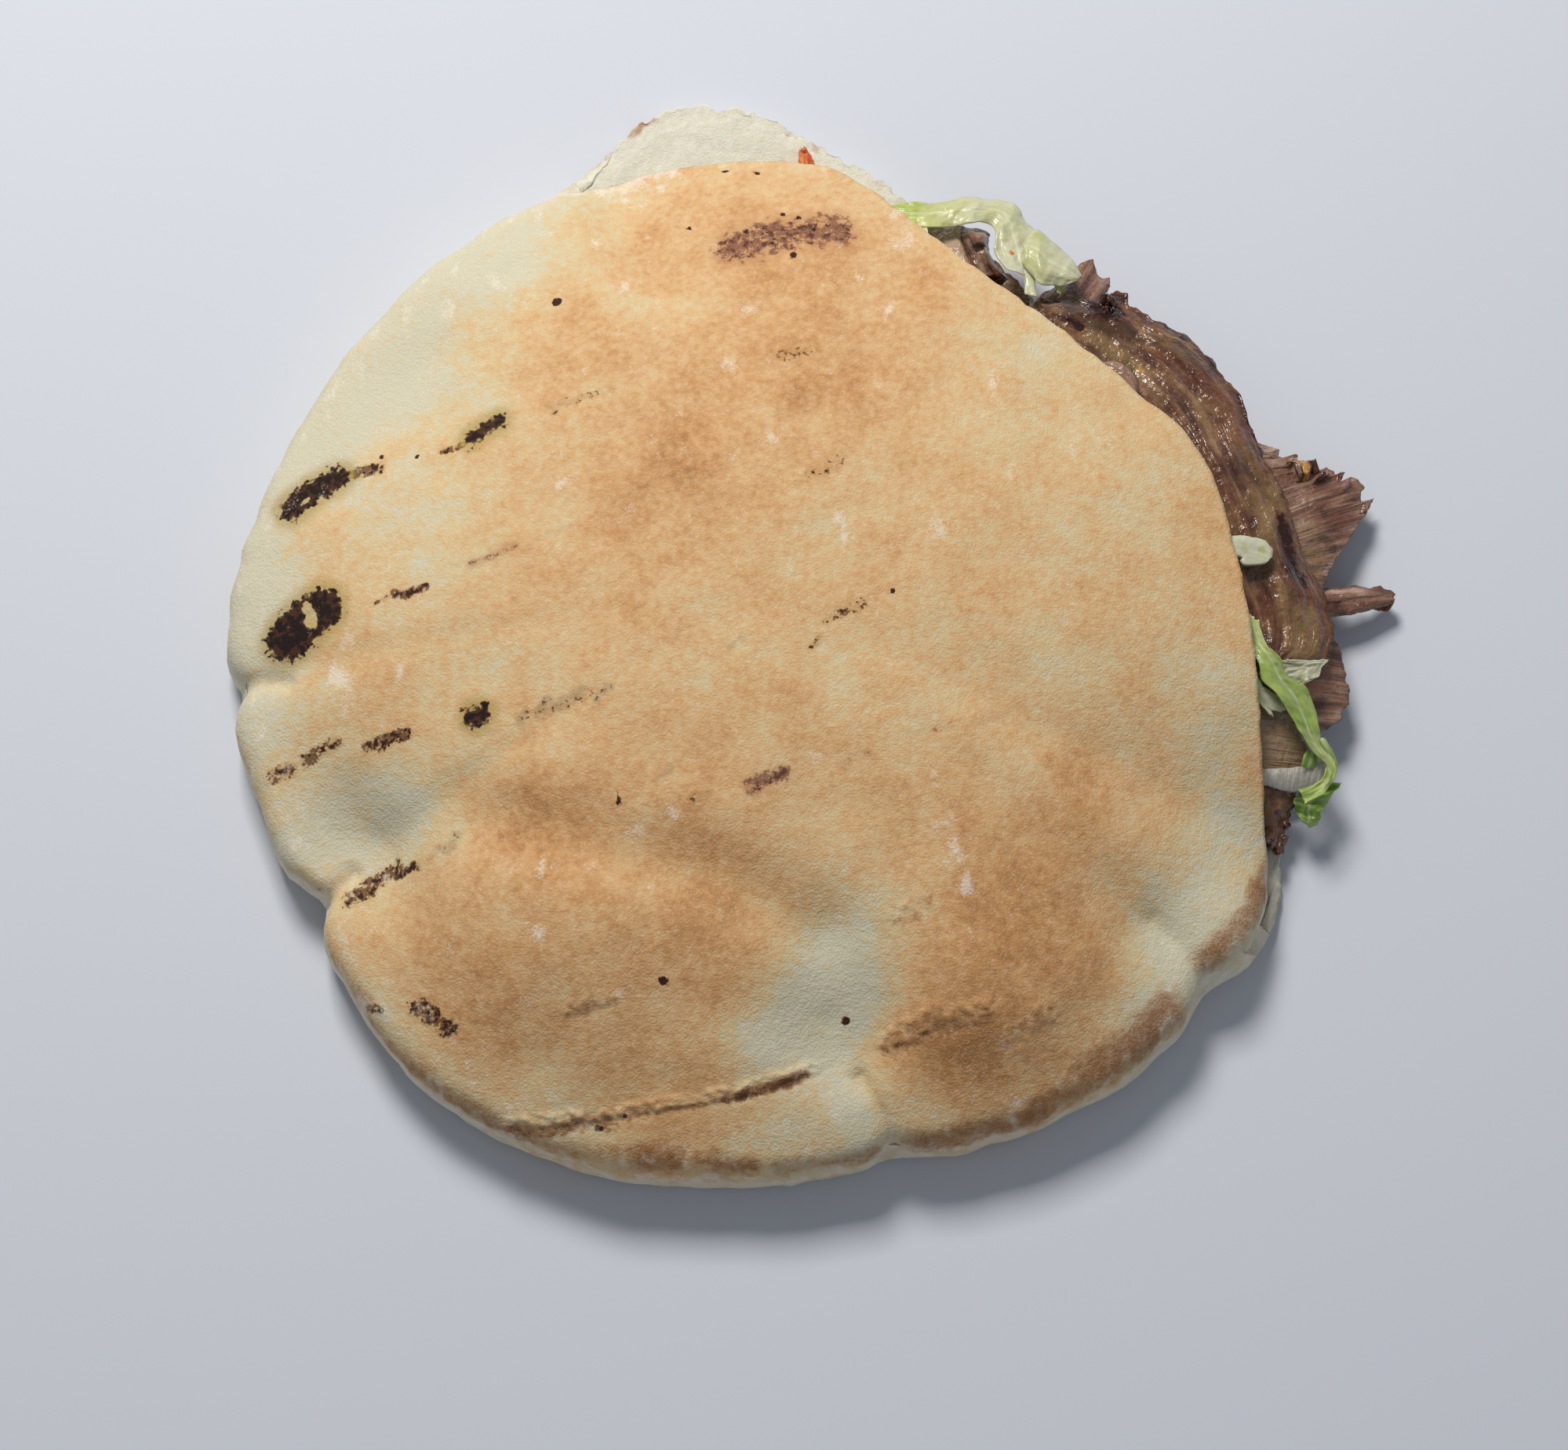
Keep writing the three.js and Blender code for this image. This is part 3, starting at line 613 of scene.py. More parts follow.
def lookMaterial(name, look):
    material, tree, shader = newMaterial(name)
    place = add(tree, "ShaderNodeTexCoord")
    sources = {}
    for field, (size, detail, *rest) in look["fields"].items():
        kind, stretch = rest or ("Object", (1, 1, 1))
        unit = 10 if kind == "UV" else 1 / mm  # UV maps hold centimetres
        scale = [s * unit / size for s in stretch]
        moved = add(tree, "ShaderNodeMapping", {0: place.outputs[kind], "Scale": scale})
        cells = add(tree, "ShaderNodeTexNoise", {"Vector": moved.outputs[0], "Scale": 1, "Detail": detail})
        sources[field] = cells.outputs[0]
    for mask in look["masks"]:
        sources[mask] = add(tree, "ShaderNodeAttribute", attribute_name=mask).outputs["Fac"]

    # Weighed sums of fields and masks: the ground tone, the height, the wetness, and one for each layer
    sums = [(look.get("toneStart", 0), look["tone"]), (0, look["height"]), look.get("wet", (0, {}))]
    sums += [(0, layer[4]) for layer in look["layers"]]
    for i, (total, weights) in enumerate(sums):
        for source, weight in weights.items():
            factors = {0: sources[source], 1: weight, 2: total}
            total = add(tree, "ShaderNodeMath", factors, operation="MULTIPLY_ADD").outputs[0]
        sums[i] = total
    tone, height, wetness, *values = sums

    colour = add(tree, "ShaderNodeValToRGB", {0: tone}, stops=look["stops"]).outputs[0]
    for value, (code, amount, low, high, weights, *within) in zip(values, look["layers"]):
        limits = {0: value, 1: low, 2: high, 4: amount}
        cover = add(tree, "ShaderNodeMapRange", limits, interpolation_type="SMOOTHSTEP").outputs[0]
        for mask in within:
            inside = add(tree, "ShaderNodeMapRange", {0: sources[mask], 1: 0.02, 2: 0.2}).outputs[0]
            cover = add(tree, "ShaderNodeMath", {0: cover, 1: inside}, operation="MULTIPLY").outputs[0]
        colours = {0: cover, 6: colour, 7: linear(code)}
        colour = add(tree, "ShaderNodeMix", colours, data_type="RGBA").outputs[2]
    tree.links.new(colour, shader.inputs["Base Color"])

    distance, strength = look["bump"]
    bump = add(tree, "ShaderNodeBump", {"Height": height, "Distance": distance * mm, "Strength": strength})
    tree.links.new(bump.outputs[0], shader.inputs["Normal"])
    tree.links.new(bump.outputs[0], shader.inputs["Coat Normal"])
    for socket, value in look["surface"].items():
        shader.inputs[socket].default_value = value
    if "wet" in look:
        tree.links.new(wetness, shader.inputs["Roughness"])
    return material


bread = buildBread()
shapeBreadSurface(bread.data)
finished(bread, lookMaterial("baked pita crust", crustLook), "baked_dough", "bread")
print("bread:", len(bread.data.polygons), "faces")


# Filling: sheets between two rails, an inner one under the lip and an outer one that shows
def curve(path, count, sharp=False):  # evenly spaced places along a line through the points
    path = np.array(path, float)
    if not sharp and len(path) > 2:
        ends = np.vstack([2 * path[0] - path[1], path, 2 * path[-1] - path[-2]])
        t = np.linspace(0, 1, 10, endpoint=False)[:, None]
        parts = [b + 0.5 * t * (c - a + t * (2 * a - 5 * b + 4 * c - d + t * (3 * (b - c) + d - a)))
                 for a, b, c, d in zip(ends, ends[1:], ends[2:], ends[3:])]
        path = np.vstack(parts + [path[-1:]])
    run = np.concatenate([[0], np.cumsum(np.linalg.norm(np.diff(path, axis=0), axis=1))])
    return np.stack([np.interp(np.linspace(0, run[-1], count), run, column) for column in path.T], 1)


usual = {  # what a slice or leaf has when its own entry leaves it out, in mm
    "cell": 0.5, "rag": 0.4, "raggedInner": False, "sharp": False, "grain": "along", "edge": 0.25,
    "wave": 0.6, "ridge": 0.4, "ridgeSize": 2.6, "crinkle": 0, "fibre": 0.16, "ruffle": 0, "ruffleSize": 1.3,
    "lift": 0, "droop": 0.8, "cup": 0, "tilt": 0, "twist": 0, "masks": {},
}


def sheet(name, own, seed):  # a slice or leaf, ruled between its rails
    spec = {**usual, **own}
    steps = 400
    across = spec["grain"] == "across"
    outer = curve(spec["outer"], steps, spec["sharp"])
    inner = curve(spec["inner"], steps)
    width = np.linalg.norm(outer - inner, axis=1).max()
    length = max(np.linalg.norm(np.diff(rail, axis=0), axis=1).sum() for rail in (inner, outer))
    columns, rows = max(6, int(length / spec["cell"])), max(4, int(width / spec["cell"]))
    bpy.ops.mesh.primitive_grid_add(x_subdivisions=columns, y_subdivisions=rows, size=2)
    piece = started(name)
    mesh = piece.data
    u, v = ((readPoints(mesh)[:, :2] * mm + 1) / 2).T
    blurred = np.stack([np.convolve(np.pad(c, 20, "edge"), np.ones(41) / 41, "valid") for c in outer.T], 1)
    a, b, soft = (np.stack([np.interp(u * (steps - 1), np.arange(steps), column) for column in rail.T], 1)
                  for rail in (inner, outer, blurred))
    place = a + (soft - a) * v[:, None] + (b - soft) * (v ** 4)[:, None]
    outward = (b - a) / np.maximum(np.linalg.norm(b - a, axis=1), 1e-6)[:, None]
    along = np.stack([u * length, v * width, np.full(len(u), seed)], 1)
    rag = spec["rag"]
    tatter = rag * (lumps(along * (1, 0.25, 1), (0.9, 1.6, seed)) + lumps(along, (0.6, 0.7, seed + 1)))
    place += outward * (tatter * smooth(v, 1 - min(0.5, 3.5 / width), 1))[:, None]
    if spec["raggedInner"]:
        place -= outward * (tatter * (1 - smooth(v, 0, min(0.5, 3.5 / width))))[:, None]
    ends = smooth(np.abs(u - 0.5) * 2, 1 - min(0.5, 3 / length), 1) * np.sign(u - 0.5)
    sideways = np.stack([outward[:, 1], -outward[:, 0]], 1)
    place += sideways * (ends * rag * (1.1 * rough(along[:, [1, 0, 2]], 1.5, seed + 2)))[:, None]
    x, y = place.T
    low, high = spec["level"]
    z = level(x, y, low + (high - low) * v)
    angle, reach = polar(x, y)
    beyond = reach - upperRadius(angle)
    free = 0.15 + 0.85 * smooth(beyond, -1, 5)
    flat = np.stack([x, y, np.full(len(x), 7 * seed)], 1)
    z += spec["lift"] * smooth(beyond, -2, 3)
    z += spec["wave"] * lumps(flat, (1, 9, seed), (0.4, 4, seed)) * free
    ridges = along * ((1, 0.15, 1) if across else (0.15, 1, 1))
    z += spec["ridge"] * rough(ridges, spec["ridgeSize"], seed + 4) * free
    z += spec["crinkle"] * lumps(along, (0.6, 3.2, seed + 8), (0.4, 1.5, seed + 9)) * free
    z -= spec["droop"] * smooth(v, 0.6, 1) ** 2
    z += spec["cup"] * np.sin(np.pi * np.clip(u, 0, 1)) * np.sin(np.pi * v)
    z += spec["tilt"] * (v - 0.5) * np.cos(spec["twist"] * np.pi * u) * free
    rim = np.abs(v - 0.5) * 2
    z += spec["ruffle"] * rim ** 2 * np.sin(u * length / spec["ruffleSize"] + 3 * v + seed) * free
    points = np.stack([x, y, z], 1)
    writePoints(mesh, points)
    if np.mean(readNormals(mesh)[:, 2]) < 0:
        mesh.flip_normals()
    fibre = along * ((1, 0.07, 1) if across else (0.07, 1, 1))
    lift = spec["fibre"] * (rough(fibre, 0.75, seed + 6) + 0.5 * rough(along, 1.1, seed + 7))
    points += readNormals(mesh) * lift[:, None]
    writePoints(mesh, points)

    paintPattern(mesh, along[:, [1, 0] if across else [0, 1]])
    border = np.minimum(np.minimum(u, 1 - u) * length, np.minimum(v, 1 - v) * width)
    paint(mesh, "edge", np.clip(1 - border / 1.2, 0, 1) * (v > 0.3))
    for mask, dabs in spec["masks"].items():
        value = np.zeros(len(u))
        wobble = lumps(flat, (0.7, 2, 41), (0.4, 0.8, 42))
        for path, size, strength in dabs:
            away = distanceTo(x, y, path) + wobble
            value = np.maximum(value, strength * (1 - smooth(away, size * 0.3, size * 1.4)))
        paint(mesh, mask, value)
    if "green" in spec:
        green = np.interp(u, np.linspace(0, 1, len(spec["green"])), spec["green"])
        paint(mesh, "green", green + 0.15 * rough(flat, 4, 9))
        branch = np.abs(np.sin((u * length - 3 * np.abs(v - 0.5) * width) / 3.5 + seed))
        vein = np.exp(-((v - 0.5) * width / 0.45) ** 2) + 0.5 * np.exp(-(branch / 0.12) ** 2)
        paint(mesh, "vein", np.clip(0.5 * vein, 0, 0.8))
    thin = spec["edge"]
    thicken(piece, spec["thick"], thin + (1 - thin) * smooth(border, 0, 1.4))
    return piece


def joined(name, pieces):  # several sheets that are one physical piece
    bpy.ops.object.select_all(action="DESELECT")
    for piece in pieces:
        piece.select_set(True)
    bpy.context.view_layer.objects.active = pieces[0]
    if len(pieces) > 1:
        bpy.ops.object.join()
    return started(name)


# Sliced lamb or beef off the grill: long fibres, fat that glistens, a darker seared skin.
meatLook = {
    "fields": {
        "fibre": (0.5, 2, "UV", (0.08, 1, 1)), "bundle": (2.2, 2, "UV", (0.15, 1, 1)),
        "blotch": (3.2, 3, "UV", (0.3, 1, 1)), "patch": (8, 2),
        "sear": (6.5, 2, "Object", (1.1, 1, 0.9)), "fine": (0.7, 2), "lump": (1.7, 2)},
    "masks": ["tan", "red", "dark", "edge", "burnt", "pale", "herb", "fat"],
    "tone": {"fibre": 0.14, "bundle": 0.26, "blotch": 0.6, "fine": 0.08},
    "height": {"fibre": 0.2, "bundle": 0.5, "fine": 0.12, "lump": 0.45},
    "bump": (1.5, 0.8),
    "surface": {"Coat Weight": 0.9, "Coat Roughness": 0.13, "Specular IOR Level": 0.3,
                "Subsurface Weight": 0.12, "Subsurface Radius": (1.0, 0.35, 0.2),
                "Subsurface Scale": 1.2 * mm},
}
meatTones = {  # dark to light, then patch colours, roughness
    "grilled meat, seared side": (
        ["#3A2014", "#613D28", "#805A3C", "#A27E58"], ["#84673F", "#693623"], 0.52),
    "grilled meat, pale cut side": (
        ["#5A392C", "#845E4B", "#A17E6B", "#C4AA9A"], ["#957A5E", "#865544"], 0.6),
}
meats = []
for name, (tones, patch, dry) in meatTones.items():
    meats.append(lookMaterial(name, {
        **meatLook,
        "stops": list(zip((0.42, 0.51, 0.58, 0.68), tones)),
        "wet": (dry, {"fine": -0.3, "burnt": -0.15}),
        "layers": [
            (patch[0], 0.55, 0.5, 0.68, {"patch": 1}), (patch[1], 0.55, 0.54, 0.7, {"sear": 1}),
            ("#97794F", 0.7, 0, 1, {"tan": 1}), ("#703420", 0.6, 0, 1, {"red": 1}),
            ("#3A2115", 0.75, 0.1, 0.8, {"dark": 1}),
            ("#43200F", 0.5, 0.8, 1.5, {"edge": 1, "fine": 1}),
            ("#64301A", 0.8, 1.6, 2.1, {"burnt": 1, "fine": 1.4, "bundle": 0.8, "lump": 0.8}),
            ("#2E120A", 1, 1.95, 2.35, {"burnt": 1, "fine": 1.4, "bundle": 0.8, "lump": 0.8}),
            # the pale layer is the meat's paler colour, and on the tucked and standing slices also painted
            # light against shade
            ("#C3A68C", 0.7, 0, 1, {"pale": 1}), ("#4F6B1E", 0.9, 0, 1, {"herb": 1}),
            ("#D9A44E", 0.9, 0, 1, {"fat": 1})]}))
grilledMeat, paleMeat = meats

# Iceberg lettuce: waxy and thin, near white by the rib, yellow-green to green at the rim.
leafTones = {
    "green lettuce": ["#E0E2C2", "#C5D190", "#A2B960", "#7A9A40"],
    "pale lettuce heart": ["#D0D0BC", "#C9CAA3", "#C0C47F", "#A9B958"],
}
leaves = []
for name, tones in leafTones.items():
    leaves.append(lookMaterial(name, {
        "fields": {"veins": (0.8, 2, "UV", (0.13, 1, 1)), "cloud": (3.3, 3), "wrinkle": (1.5, 2)},
        "masks": ["green", "vein", "spot", "crumbs"],
        "tone": {"cloud": 0.35, "green": 1, "veins": 0.25}, "toneStart": -0.3,
        "stops": list(zip((0, 0.35, 0.7, 1), tones)),
        "layers": [
            ("#E9ECCF", 1, 0, 1, {"vein": 1}), ("#B9BD6E", 1, 0, 1, {"spot": 1}),
            ("#C9772F", 1, 0, 1, {"crumbs": 1})],
        "height": {"veins": 0.5, "cloud": 1, "wrinkle": 0.5},
        "bump": (0.6, 0.6),
        "surface": {"Roughness": 0.36, "Coat Weight": 0.2, "Subsurface Weight": 0.6,
                    "Subsurface Radius": (0.9, 1.0, 0.35), "Subsurface Scale": 1.5 * mm}}))
greenLeaf, paleLeaf = leaves

# Raw onion and carrot: wet flesh with fine parallel fibres that lets some light through.
rawTones = {"raw onion": ("#CFC8BC", "#F3F0E8", 0.45), "raw carrot": ("#C4501F", "#E5813E", 0)}
raw = []
for name, (flesh, streak, clear) in rawTones.items():
    raw.append(lookMaterial(name, {
        "fields": {"lines": (0.4, 2, "UV", (0.08, 1, 1)), "grit": (0.7, 2)},
        "masks": [],
        "tone": {"grit": 0.5, "lines": 1},
        "stops": [(0.55, flesh), (0.9, streak)],
        "layers": [],
        "height": {"grit": 0.5, "lines": 1},
        "bump": (0.5, 0.5),
        "surface": {"Roughness": 0.3, "Transmission Weight": clear, "IOR": 1.36, "Subsurface Weight": 0.4,
                    "Subsurface Radius": (1, 0.8, 0.6), "Subsurface Scale": 1.5 * mm}}))
onion, carrot = raw

leaf = {"thick": 0.5, "rag": 0.15, "fibre": 0.08, "edge": 0.6}
kinds = {  # what the pieces of a kind share, unless a piece has its own value
    "grilled": {"material": grilledMeat, "slot": "grilled_meat", "thick": 2.2},
    "pale": {"material": paleMeat, "slot": "pale_meat", "thick": 2.2},
    "green": {"material": greenLeaf, "slot": "green_leaf", **leaf},
    "heart": {"material": paleLeaf, "slot": "pale_leaf", **leaf},
    "onion": {"material": onion, "slot": "raw_onion"},
    "carrot": {"material": carrot, "slot": "raw_carrot"},
}
# Rails are x and y in mm. A level is a share of the pocket's height, at the inner and at the outer rail.
slices = {
    "grilledSlice": {
        "node": "meat_grilled_slice", "kind": "grilled", "thick": 2.4, "sharp": True,
        "inner": [
            (38, 54), (44, 47), (50, 41), (55, 35), (61, 28), (65, 21), (68, 14), (70, 7), (72, 0),
            (75, -6), (79, -10.5)],
        "outer": [
            (44, 61), (46.5, 61.4), (49, 64), (51.5, 63.4), (53.7, 61.6), (56.6, 60.8), (57.2, 63.2),
            (58.2, 64.6), (60.6, 64.1), (60.5, 61.2), (62.2, 61.2), (65.4, 58.6), (69, 57), (70, 56.2),
            (72, 56.2), (74.6, 53), (77, 51.2), (77.4, 49), (79, 47), (81.6, 44), (82.6, 41), (83.6, 37),
            (85, 33), (86.8, 27.6), (89, 24), (91.2, 17), (92.2, 12), (94.5, 7.5), (97, 3.5), (96.6, 0.5),
            (98, -2), (97.6, -5), (96, -9.4), (92, -10.4), (88, -11)],
        "level": (0.9, 0.95), "rag": 0.5, "wave": 0.9, "ridge": 0.7, "droop": 1.2, "cell": 0.42,
        "ridgeSize": 3.2,
        "masks": {
            "burnt": [
                ([(88.5, 18), (89.5, 12), (90, 8), (92, 5.5)], 1.5, 1), ([(53, 60.5), (58, 59)], 2.2, 1),
                ([(49, 57), (51, 55)], 1.2, 1), ([(57.5, 63), (60, 63)], 1.5, 1),
                ([(52.5, 60), (56, 60.5)], 1.2, 0.8), ([(81.5, 43), (84, 36), (85.5, 31)], 0.7, 0.9),
                ([(68, 57), (72, 55)], 0.6, 0.8)],
            "tan": [
                ([(92, -2), (92, -8)], 3.5, 0.9), ([(86, 20), (85, 14)], 2, 0.8),
                ([(52, 55), (58, 50)], 2.2, 0.7), ([(88, 26), (87, 23)], 1.6, 0.8),
                ([(80, 38), (74, 42)], 2, 0.5), ([(62, 45), (66, 40)], 1.5, 0.6)],
            "red": [
                ([(74, 46), (79, 40), (80, 34)], 3, 0.7), ([(92, 4), (95, 2)], 1.8, 0.8),
                ([(75, 25), (80, 16)], 3, 0.4), ([(84, 4), (86, -4)], 1.4, 0.5)],
            "dark": [
                ([(70, 53), (76, 48)], 2, 0.6), ([(66, 36), (72, 28)], 1.4, 0.6),
                ([(49, 59), (60, 55)], 3, 0.7)],
            "herb": [([(59.5, 49.5), (60.8, 47)], 0.45, 1), ([(91, -3), (91.4, -4)], 0.3, 0.6)],
            "fat": [([(61, 46.5), (62.5, 47)], 0.3, 0.8)]}},
    "raggedSlice": {
        "node": "meat_ragged_slice", "kind": "pale", "sharp": True,
        "inner": [(36, 56), (40, 54), (45, 53), (50, 54)],
        "outer": [
            (38, 60), (41.4, 61.3), (44, 64), (46.7, 65.6), (50, 69), (51.6, 71.2), (54.5, 72.8),
            (55, 69.8), (56.2, 68.6), (57.9, 69.4), (57.6, 67), (56.3, 65), (57, 62.8), (59.7, 61)],
        "level": (0.82, 0.72), "rag": 0.5, "wave": 1, "grain": "across"},
    "lobeSlice": {
        "node": "meat_lobe_slice", "kind": "pale", "sharp": True,
        "inner": [(84, 3), (80, 0), (77, -6), (77, -13), (82, -19), (88, -21)],
        "outer": [
            (97, 1), (98.5, -4.4), (100, -6.8), (99.8, -8.5), (100.5, -10), (100.5, -12.2), (101.4, -12.6),
            (101, -16.2), (99.8, -17.5), (99.1, -19.7), (96.6, -21.3), (95, -22)],
        "level": (0.7, 0.6), "rag": 0.5, "wave": 1, "grain": "across", "ridge": 0.5},
    "tuckedSlice": {
        "node": "meat_tucked_slice", "kind": "grilled", "slot": "pale_meat",
        "inner": [(76, -15), (72, -18), (69, -24), (70, -31), (76, -33)],
        "outer": [(86, -18), (89, -20), (91.5, -24), (92.6, -26.5), (91, -30), (86, -32)],
        "level": (0.8, 0.76), "wave": 0.8, "grain": "across",
        "masks": {
            # the pale and tan dabs lighten the whole slice: its own tan colour, plus painted light against
            # the shade under the bread's lip
            "pale": [([(85, -20), (87, -29)], 7, 0.6)], "tan": [([(85, -20), (87, -29)], 7, 1)],
            "dark": [([(84.5, -23), (84.6, -23.5)], 0.6, 1)]}},
    "charredEnd": {
        "node": "meat_charred_end", "kind": "grilled", "thick": 4,
        "inner": [(79, -33), (78, -37), (80, -41), (83, -43)],
        "outer": [
            (89.8, -33.6), (90.3, -35), (89.4, -37.4), (88, -39), (88, -41), (87.3, -42.4), (86.2, -44)],
        "level": (0.82, 0.74), "rag": 0.8, "wave": 1.4, "ridge": 0.9, "edge": 0.4, "cell": 0.35,
        "masks": {
            "burnt": [([(85.5, -35), (87, -38.5)], 1, 0.5), ([(88.5, -38.5), (88.9, -38.8)], 0.5, 0.6)],
            "red": [([(85, -40), (87, -43)], 3, 0.7), ([(88, -34), (89, -37)], 2, 0.5)],
            "tan": [([(84, -35), (87, -42)], 5, 0.5)]}},
    "frayedFan": {
        "node": "meat_frayed_fan", "kind": "pale", "sharp": True,
        "inner": [(80, 33), (81, 30), (82, 27), (83, 23), (84, 19), (86, 14), (90, 7)],
        "outer": [
            (84, 35.5), (85.8, 34.7), (88, 34.3), (89.4, 33.6), (89.2, 32.4), (90.8, 31.8), (91.8, 32.9),
            (92.9, 33.2), (92.5, 30.9), (93.4, 29.2), (94.6, 29.3), (95.7, 30), (96.4, 32), (97, 30.6),
            (97.3, 29.4), (98.8, 31.2), (100.5, 29.6), (102.4, 30.4), (101.3, 28), (103.5, 29.4),
            (105.2, 28.9), (106.1, 27.6), (105, 25.4), (105.4, 24.4), (107.9, 25.7), (106.3, 22.4),
            (104.5, 19.8), (102.4, 16.3), (100.4, 13.3), (98.3, 10), (96.8, 6)],
        "level": (0.72, 0.58), "rag": 0.55, "wave": 1.3, "grain": "across", "cell": 0.38, "ridge": 0.45,
        "fibre": 0.1, "droop": 0.3,
        "masks": {
            "burnt": [([(94, 30.2), (95.6, 29.8)], 0.9, 1)],
            "fat": [([(93.2, 31.6), (93.4, 29.2)], 0.8, 0.9)],
            "tan": [
                ([(92, 14), (96, 9)], 1.5, 0.7), ([(104, 29), (106, 27)], 1.6, 0.6),
                ([(94, 24), (94, 23.6)], 0.6, 0.9)],
            "red": [([(98, 25), (101, 21)], 3, 0.5)],
            "dark": [([(97, 16), (99, 14)], 1.2, 0.5), ([(97, 22), (97.4, 20)], 0.8, 0.5)]}},
    "curledScrap": {
        "node": "meat_curled_scrap", "kind": "pale", "thick": 1.6,
        "inner": [(53, 45), (55.5, 43), (58, 41), (60, 39)],
        "outer": [(54.3, 46.6), (57.5, 47), (60, 45.3), (61.4, 42.7), (61.2, 40.4)],
        "level": (1, 1.12), "rag": 0.2, "wave": 0.3, "cup": 1, "lift": 0.3, "cell": 0.3},
    "foldedLeaf": {
        "node": "lettuce_folded_leaf", "kind": "heart",
        "inner": [
            (15, 79), (20.7, 76), (28.2, 76.4), (34, 77), (35, 73.5), (34.7, 71), (35.4, 68.9), (37, 66.2),
            (40.2, 65)],
        "outer": [
            (14, 81.8), (20.9, 82.4), (27.7, 83.2), (33.5, 84.2), (39, 82.6), (41.2, 79), (43, 76.5),
            (42.4, 72), (41, 67)],
        "level": (1, 0.9), "lift": 1.2, "rag": 0.12, "wave": 0.9, "ruffle": 0.55, "ruffleSize": 1.6,
        "droop": 0, "cup": 1.2, "green": [1.1, 0.9, 0.6, 0.3, 0.4, 0.3, 0.2, 0.1], "cell": 0.4,
        "crinkle": 0.7,
        "masks": {"crumbs": [([(37.8, 70.3), (38, 70)], 0.4, 1)]},
        "more": [
            {
                "inner": [
                    (40, 70), (40, 67.5), (41.4, 65), (43.2, 62.8), (45.9, 62.9), (48, 63), (50.2, 64.2)],
                "outer": [
                    (40.4, 71.6), (41.4, 74.6), (43.4, 75.6), (46, 73.4), (48.4, 71), (50.4, 68.6),
                    (51.6, 65.6)],
                "level": (1.02, 0.98), "lift": 2, "cup": 2.4, "green": [0.3, 0.5, 0.35, 0.2, 0.25],
                "ruffle": 0.3,
                "masks": {}},
            {
                "inner": [(40.2, 66.5), (40.2, 63.5), (40.1, 60.9)],
                "outer": [(42.4, 66), (42.3, 63), (42.5, 60.2)],
                "level": (1.02, 1.02), "lift": 1, "cup": 0.5, "green": [0.3, 0.35, 0.3], "ruffle": 0.1,
                "masks": {}},
            {
                "inner": [(45.8, 64.2), (46.3, 62.6), (46.6, 61.8)],
                "outer": [(48.4, 64.2), (47.6, 62.8), (47.1, 61.8)],
                "level": (1, 0.98), "lift": 1.2, "cup": 0.2, "green": [0.5, 0.8], "ruffle": 0.1,
                "masks": {}}]},
    "longShred": {
        "node": "lettuce_long_shred", "kind": "green",
        "inner": [
            (80, -1), (81, -8), (82.5, -12), (83, -15), (85.3, -17), (87.1, -19.4), (88.7, -21.6),
            (90.8, -24.9), (93, -27.6), (95.2, -29.4), (95, -31.6), (92.7, -33.2), (90, -34.3)],
        "outer": [
            (82.5, -3.5), (84.2, -8.3), (86.6, -10.3), (89.7, -13.9), (92, -15.6), (93.7, -19.7),
            (94.2, -23.8), (94.9, -26.1), (96.2, -27.7), (97.2, -29.6), (97.2, -31.2), (96.2, -33.2),
            (94.2, -35.4), (91, -37)],
        "level": (0.95, 0.88), "lift": 2.6, "ridge": 0.3, "droop": 0, "tilt": 1.6, "twist": 2.2,
        "ruffle": 0.35, "crinkle": 0.7, "green": [0.4, 0.5, 0.65, 0.72, 0.65, 0.5, 0.6, 0.7], "cell": 0.38,
        "more": [
            {
                "inner": [(93.8, -24.6), (94.6, -27), (96, -29.4)],
                "outer": [(95.2, -24.4), (96.8, -26.6), (97.6, -29.2)],
                "level": (0.9, 0.86), "lift": 2, "cup": 0.6, "twist": 0, "tilt": 0.8, "green": [0.8, 0.7]},
            {
                "inner": [(90.8, -30), (91.2, -28), (92, -26.6)],
                "outer": [(93.2, -30), (94.2, -28.6), (94, -27)],
                "level": (0.9, 0.84), "lift": 1.6, "cup": 0.4, "twist": 0, "tilt": 0, "green": [1, 0.9]}]},
    "frilledTip": {
        "node": "lettuce_frilled_tip", "kind": "green", "thick": 0.45, "sharp": True,
        "inner": [(91.6, -33.4), (90, -34.6), (89.6, -35.6), (90, -36.8), (90.6, -38), (91.6, -39.4)],
        "outer": [
            (99.2, -31.3), (97.6, -33.2), (96.4, -35), (95.6, -36.2), (94.7, -37.2), (95, -38.2),
            (94.4, -39.4), (92.6, -39.9)],
        "level": (0.8, 0.68), "rag": 0.3, "wave": 0.5, "ruffle": 0.7, "ruffleSize": 0.9, "grain": "across",
        "green": [0.9, 1.1, 1, 0.8], "cell": 0.3, "crinkle": 0.8, "droop": 0.4, "ridge": 0.9,
        "ridgeSize": 1.3},
    "whiteLeaf": {
        "node": "lettuce_white_leaf", "kind": "heart", "thick": 0.45, "sharp": True,
        "inner": [(85.5, -11.5), (87, -12.8), (89, -14), (91, -14.8)],
        "outer": [
            (88, -10.8), (93, -10.2), (96.4, -9.6), (94.9, -11.2), (94.6, -12.7), (93.1, -13.4),
            (91.6, -14.4)],
        "level": (1, 1.06), "rag": 0.2, "wave": 0.4, "fibre": 0.07, "green": [0.25, 0.15, 0.3], "cell": 0.3,
        "crinkle": 0.6, "droop": 0,
        "more": [
            {
                "inner": [(82, -17), (84.5, -19.6), (87, -20)],
                "outer": [(83.5, -15.6), (86.4, -17), (89, -19.4)],
                "level": (0.98, 0.98)}]},
    "sliver": {
        "node": "lettuce_sliver", "kind": "green", "thick": 0.6,
        "inner": [(80.6, -13), (81.5, -16), (82.6, -18.6), (84.8, -20.6)],
        "outer": [(82.6, -13.6), (83.6, -15.2), (84.6, -17.8), (85.6, -20.8)],
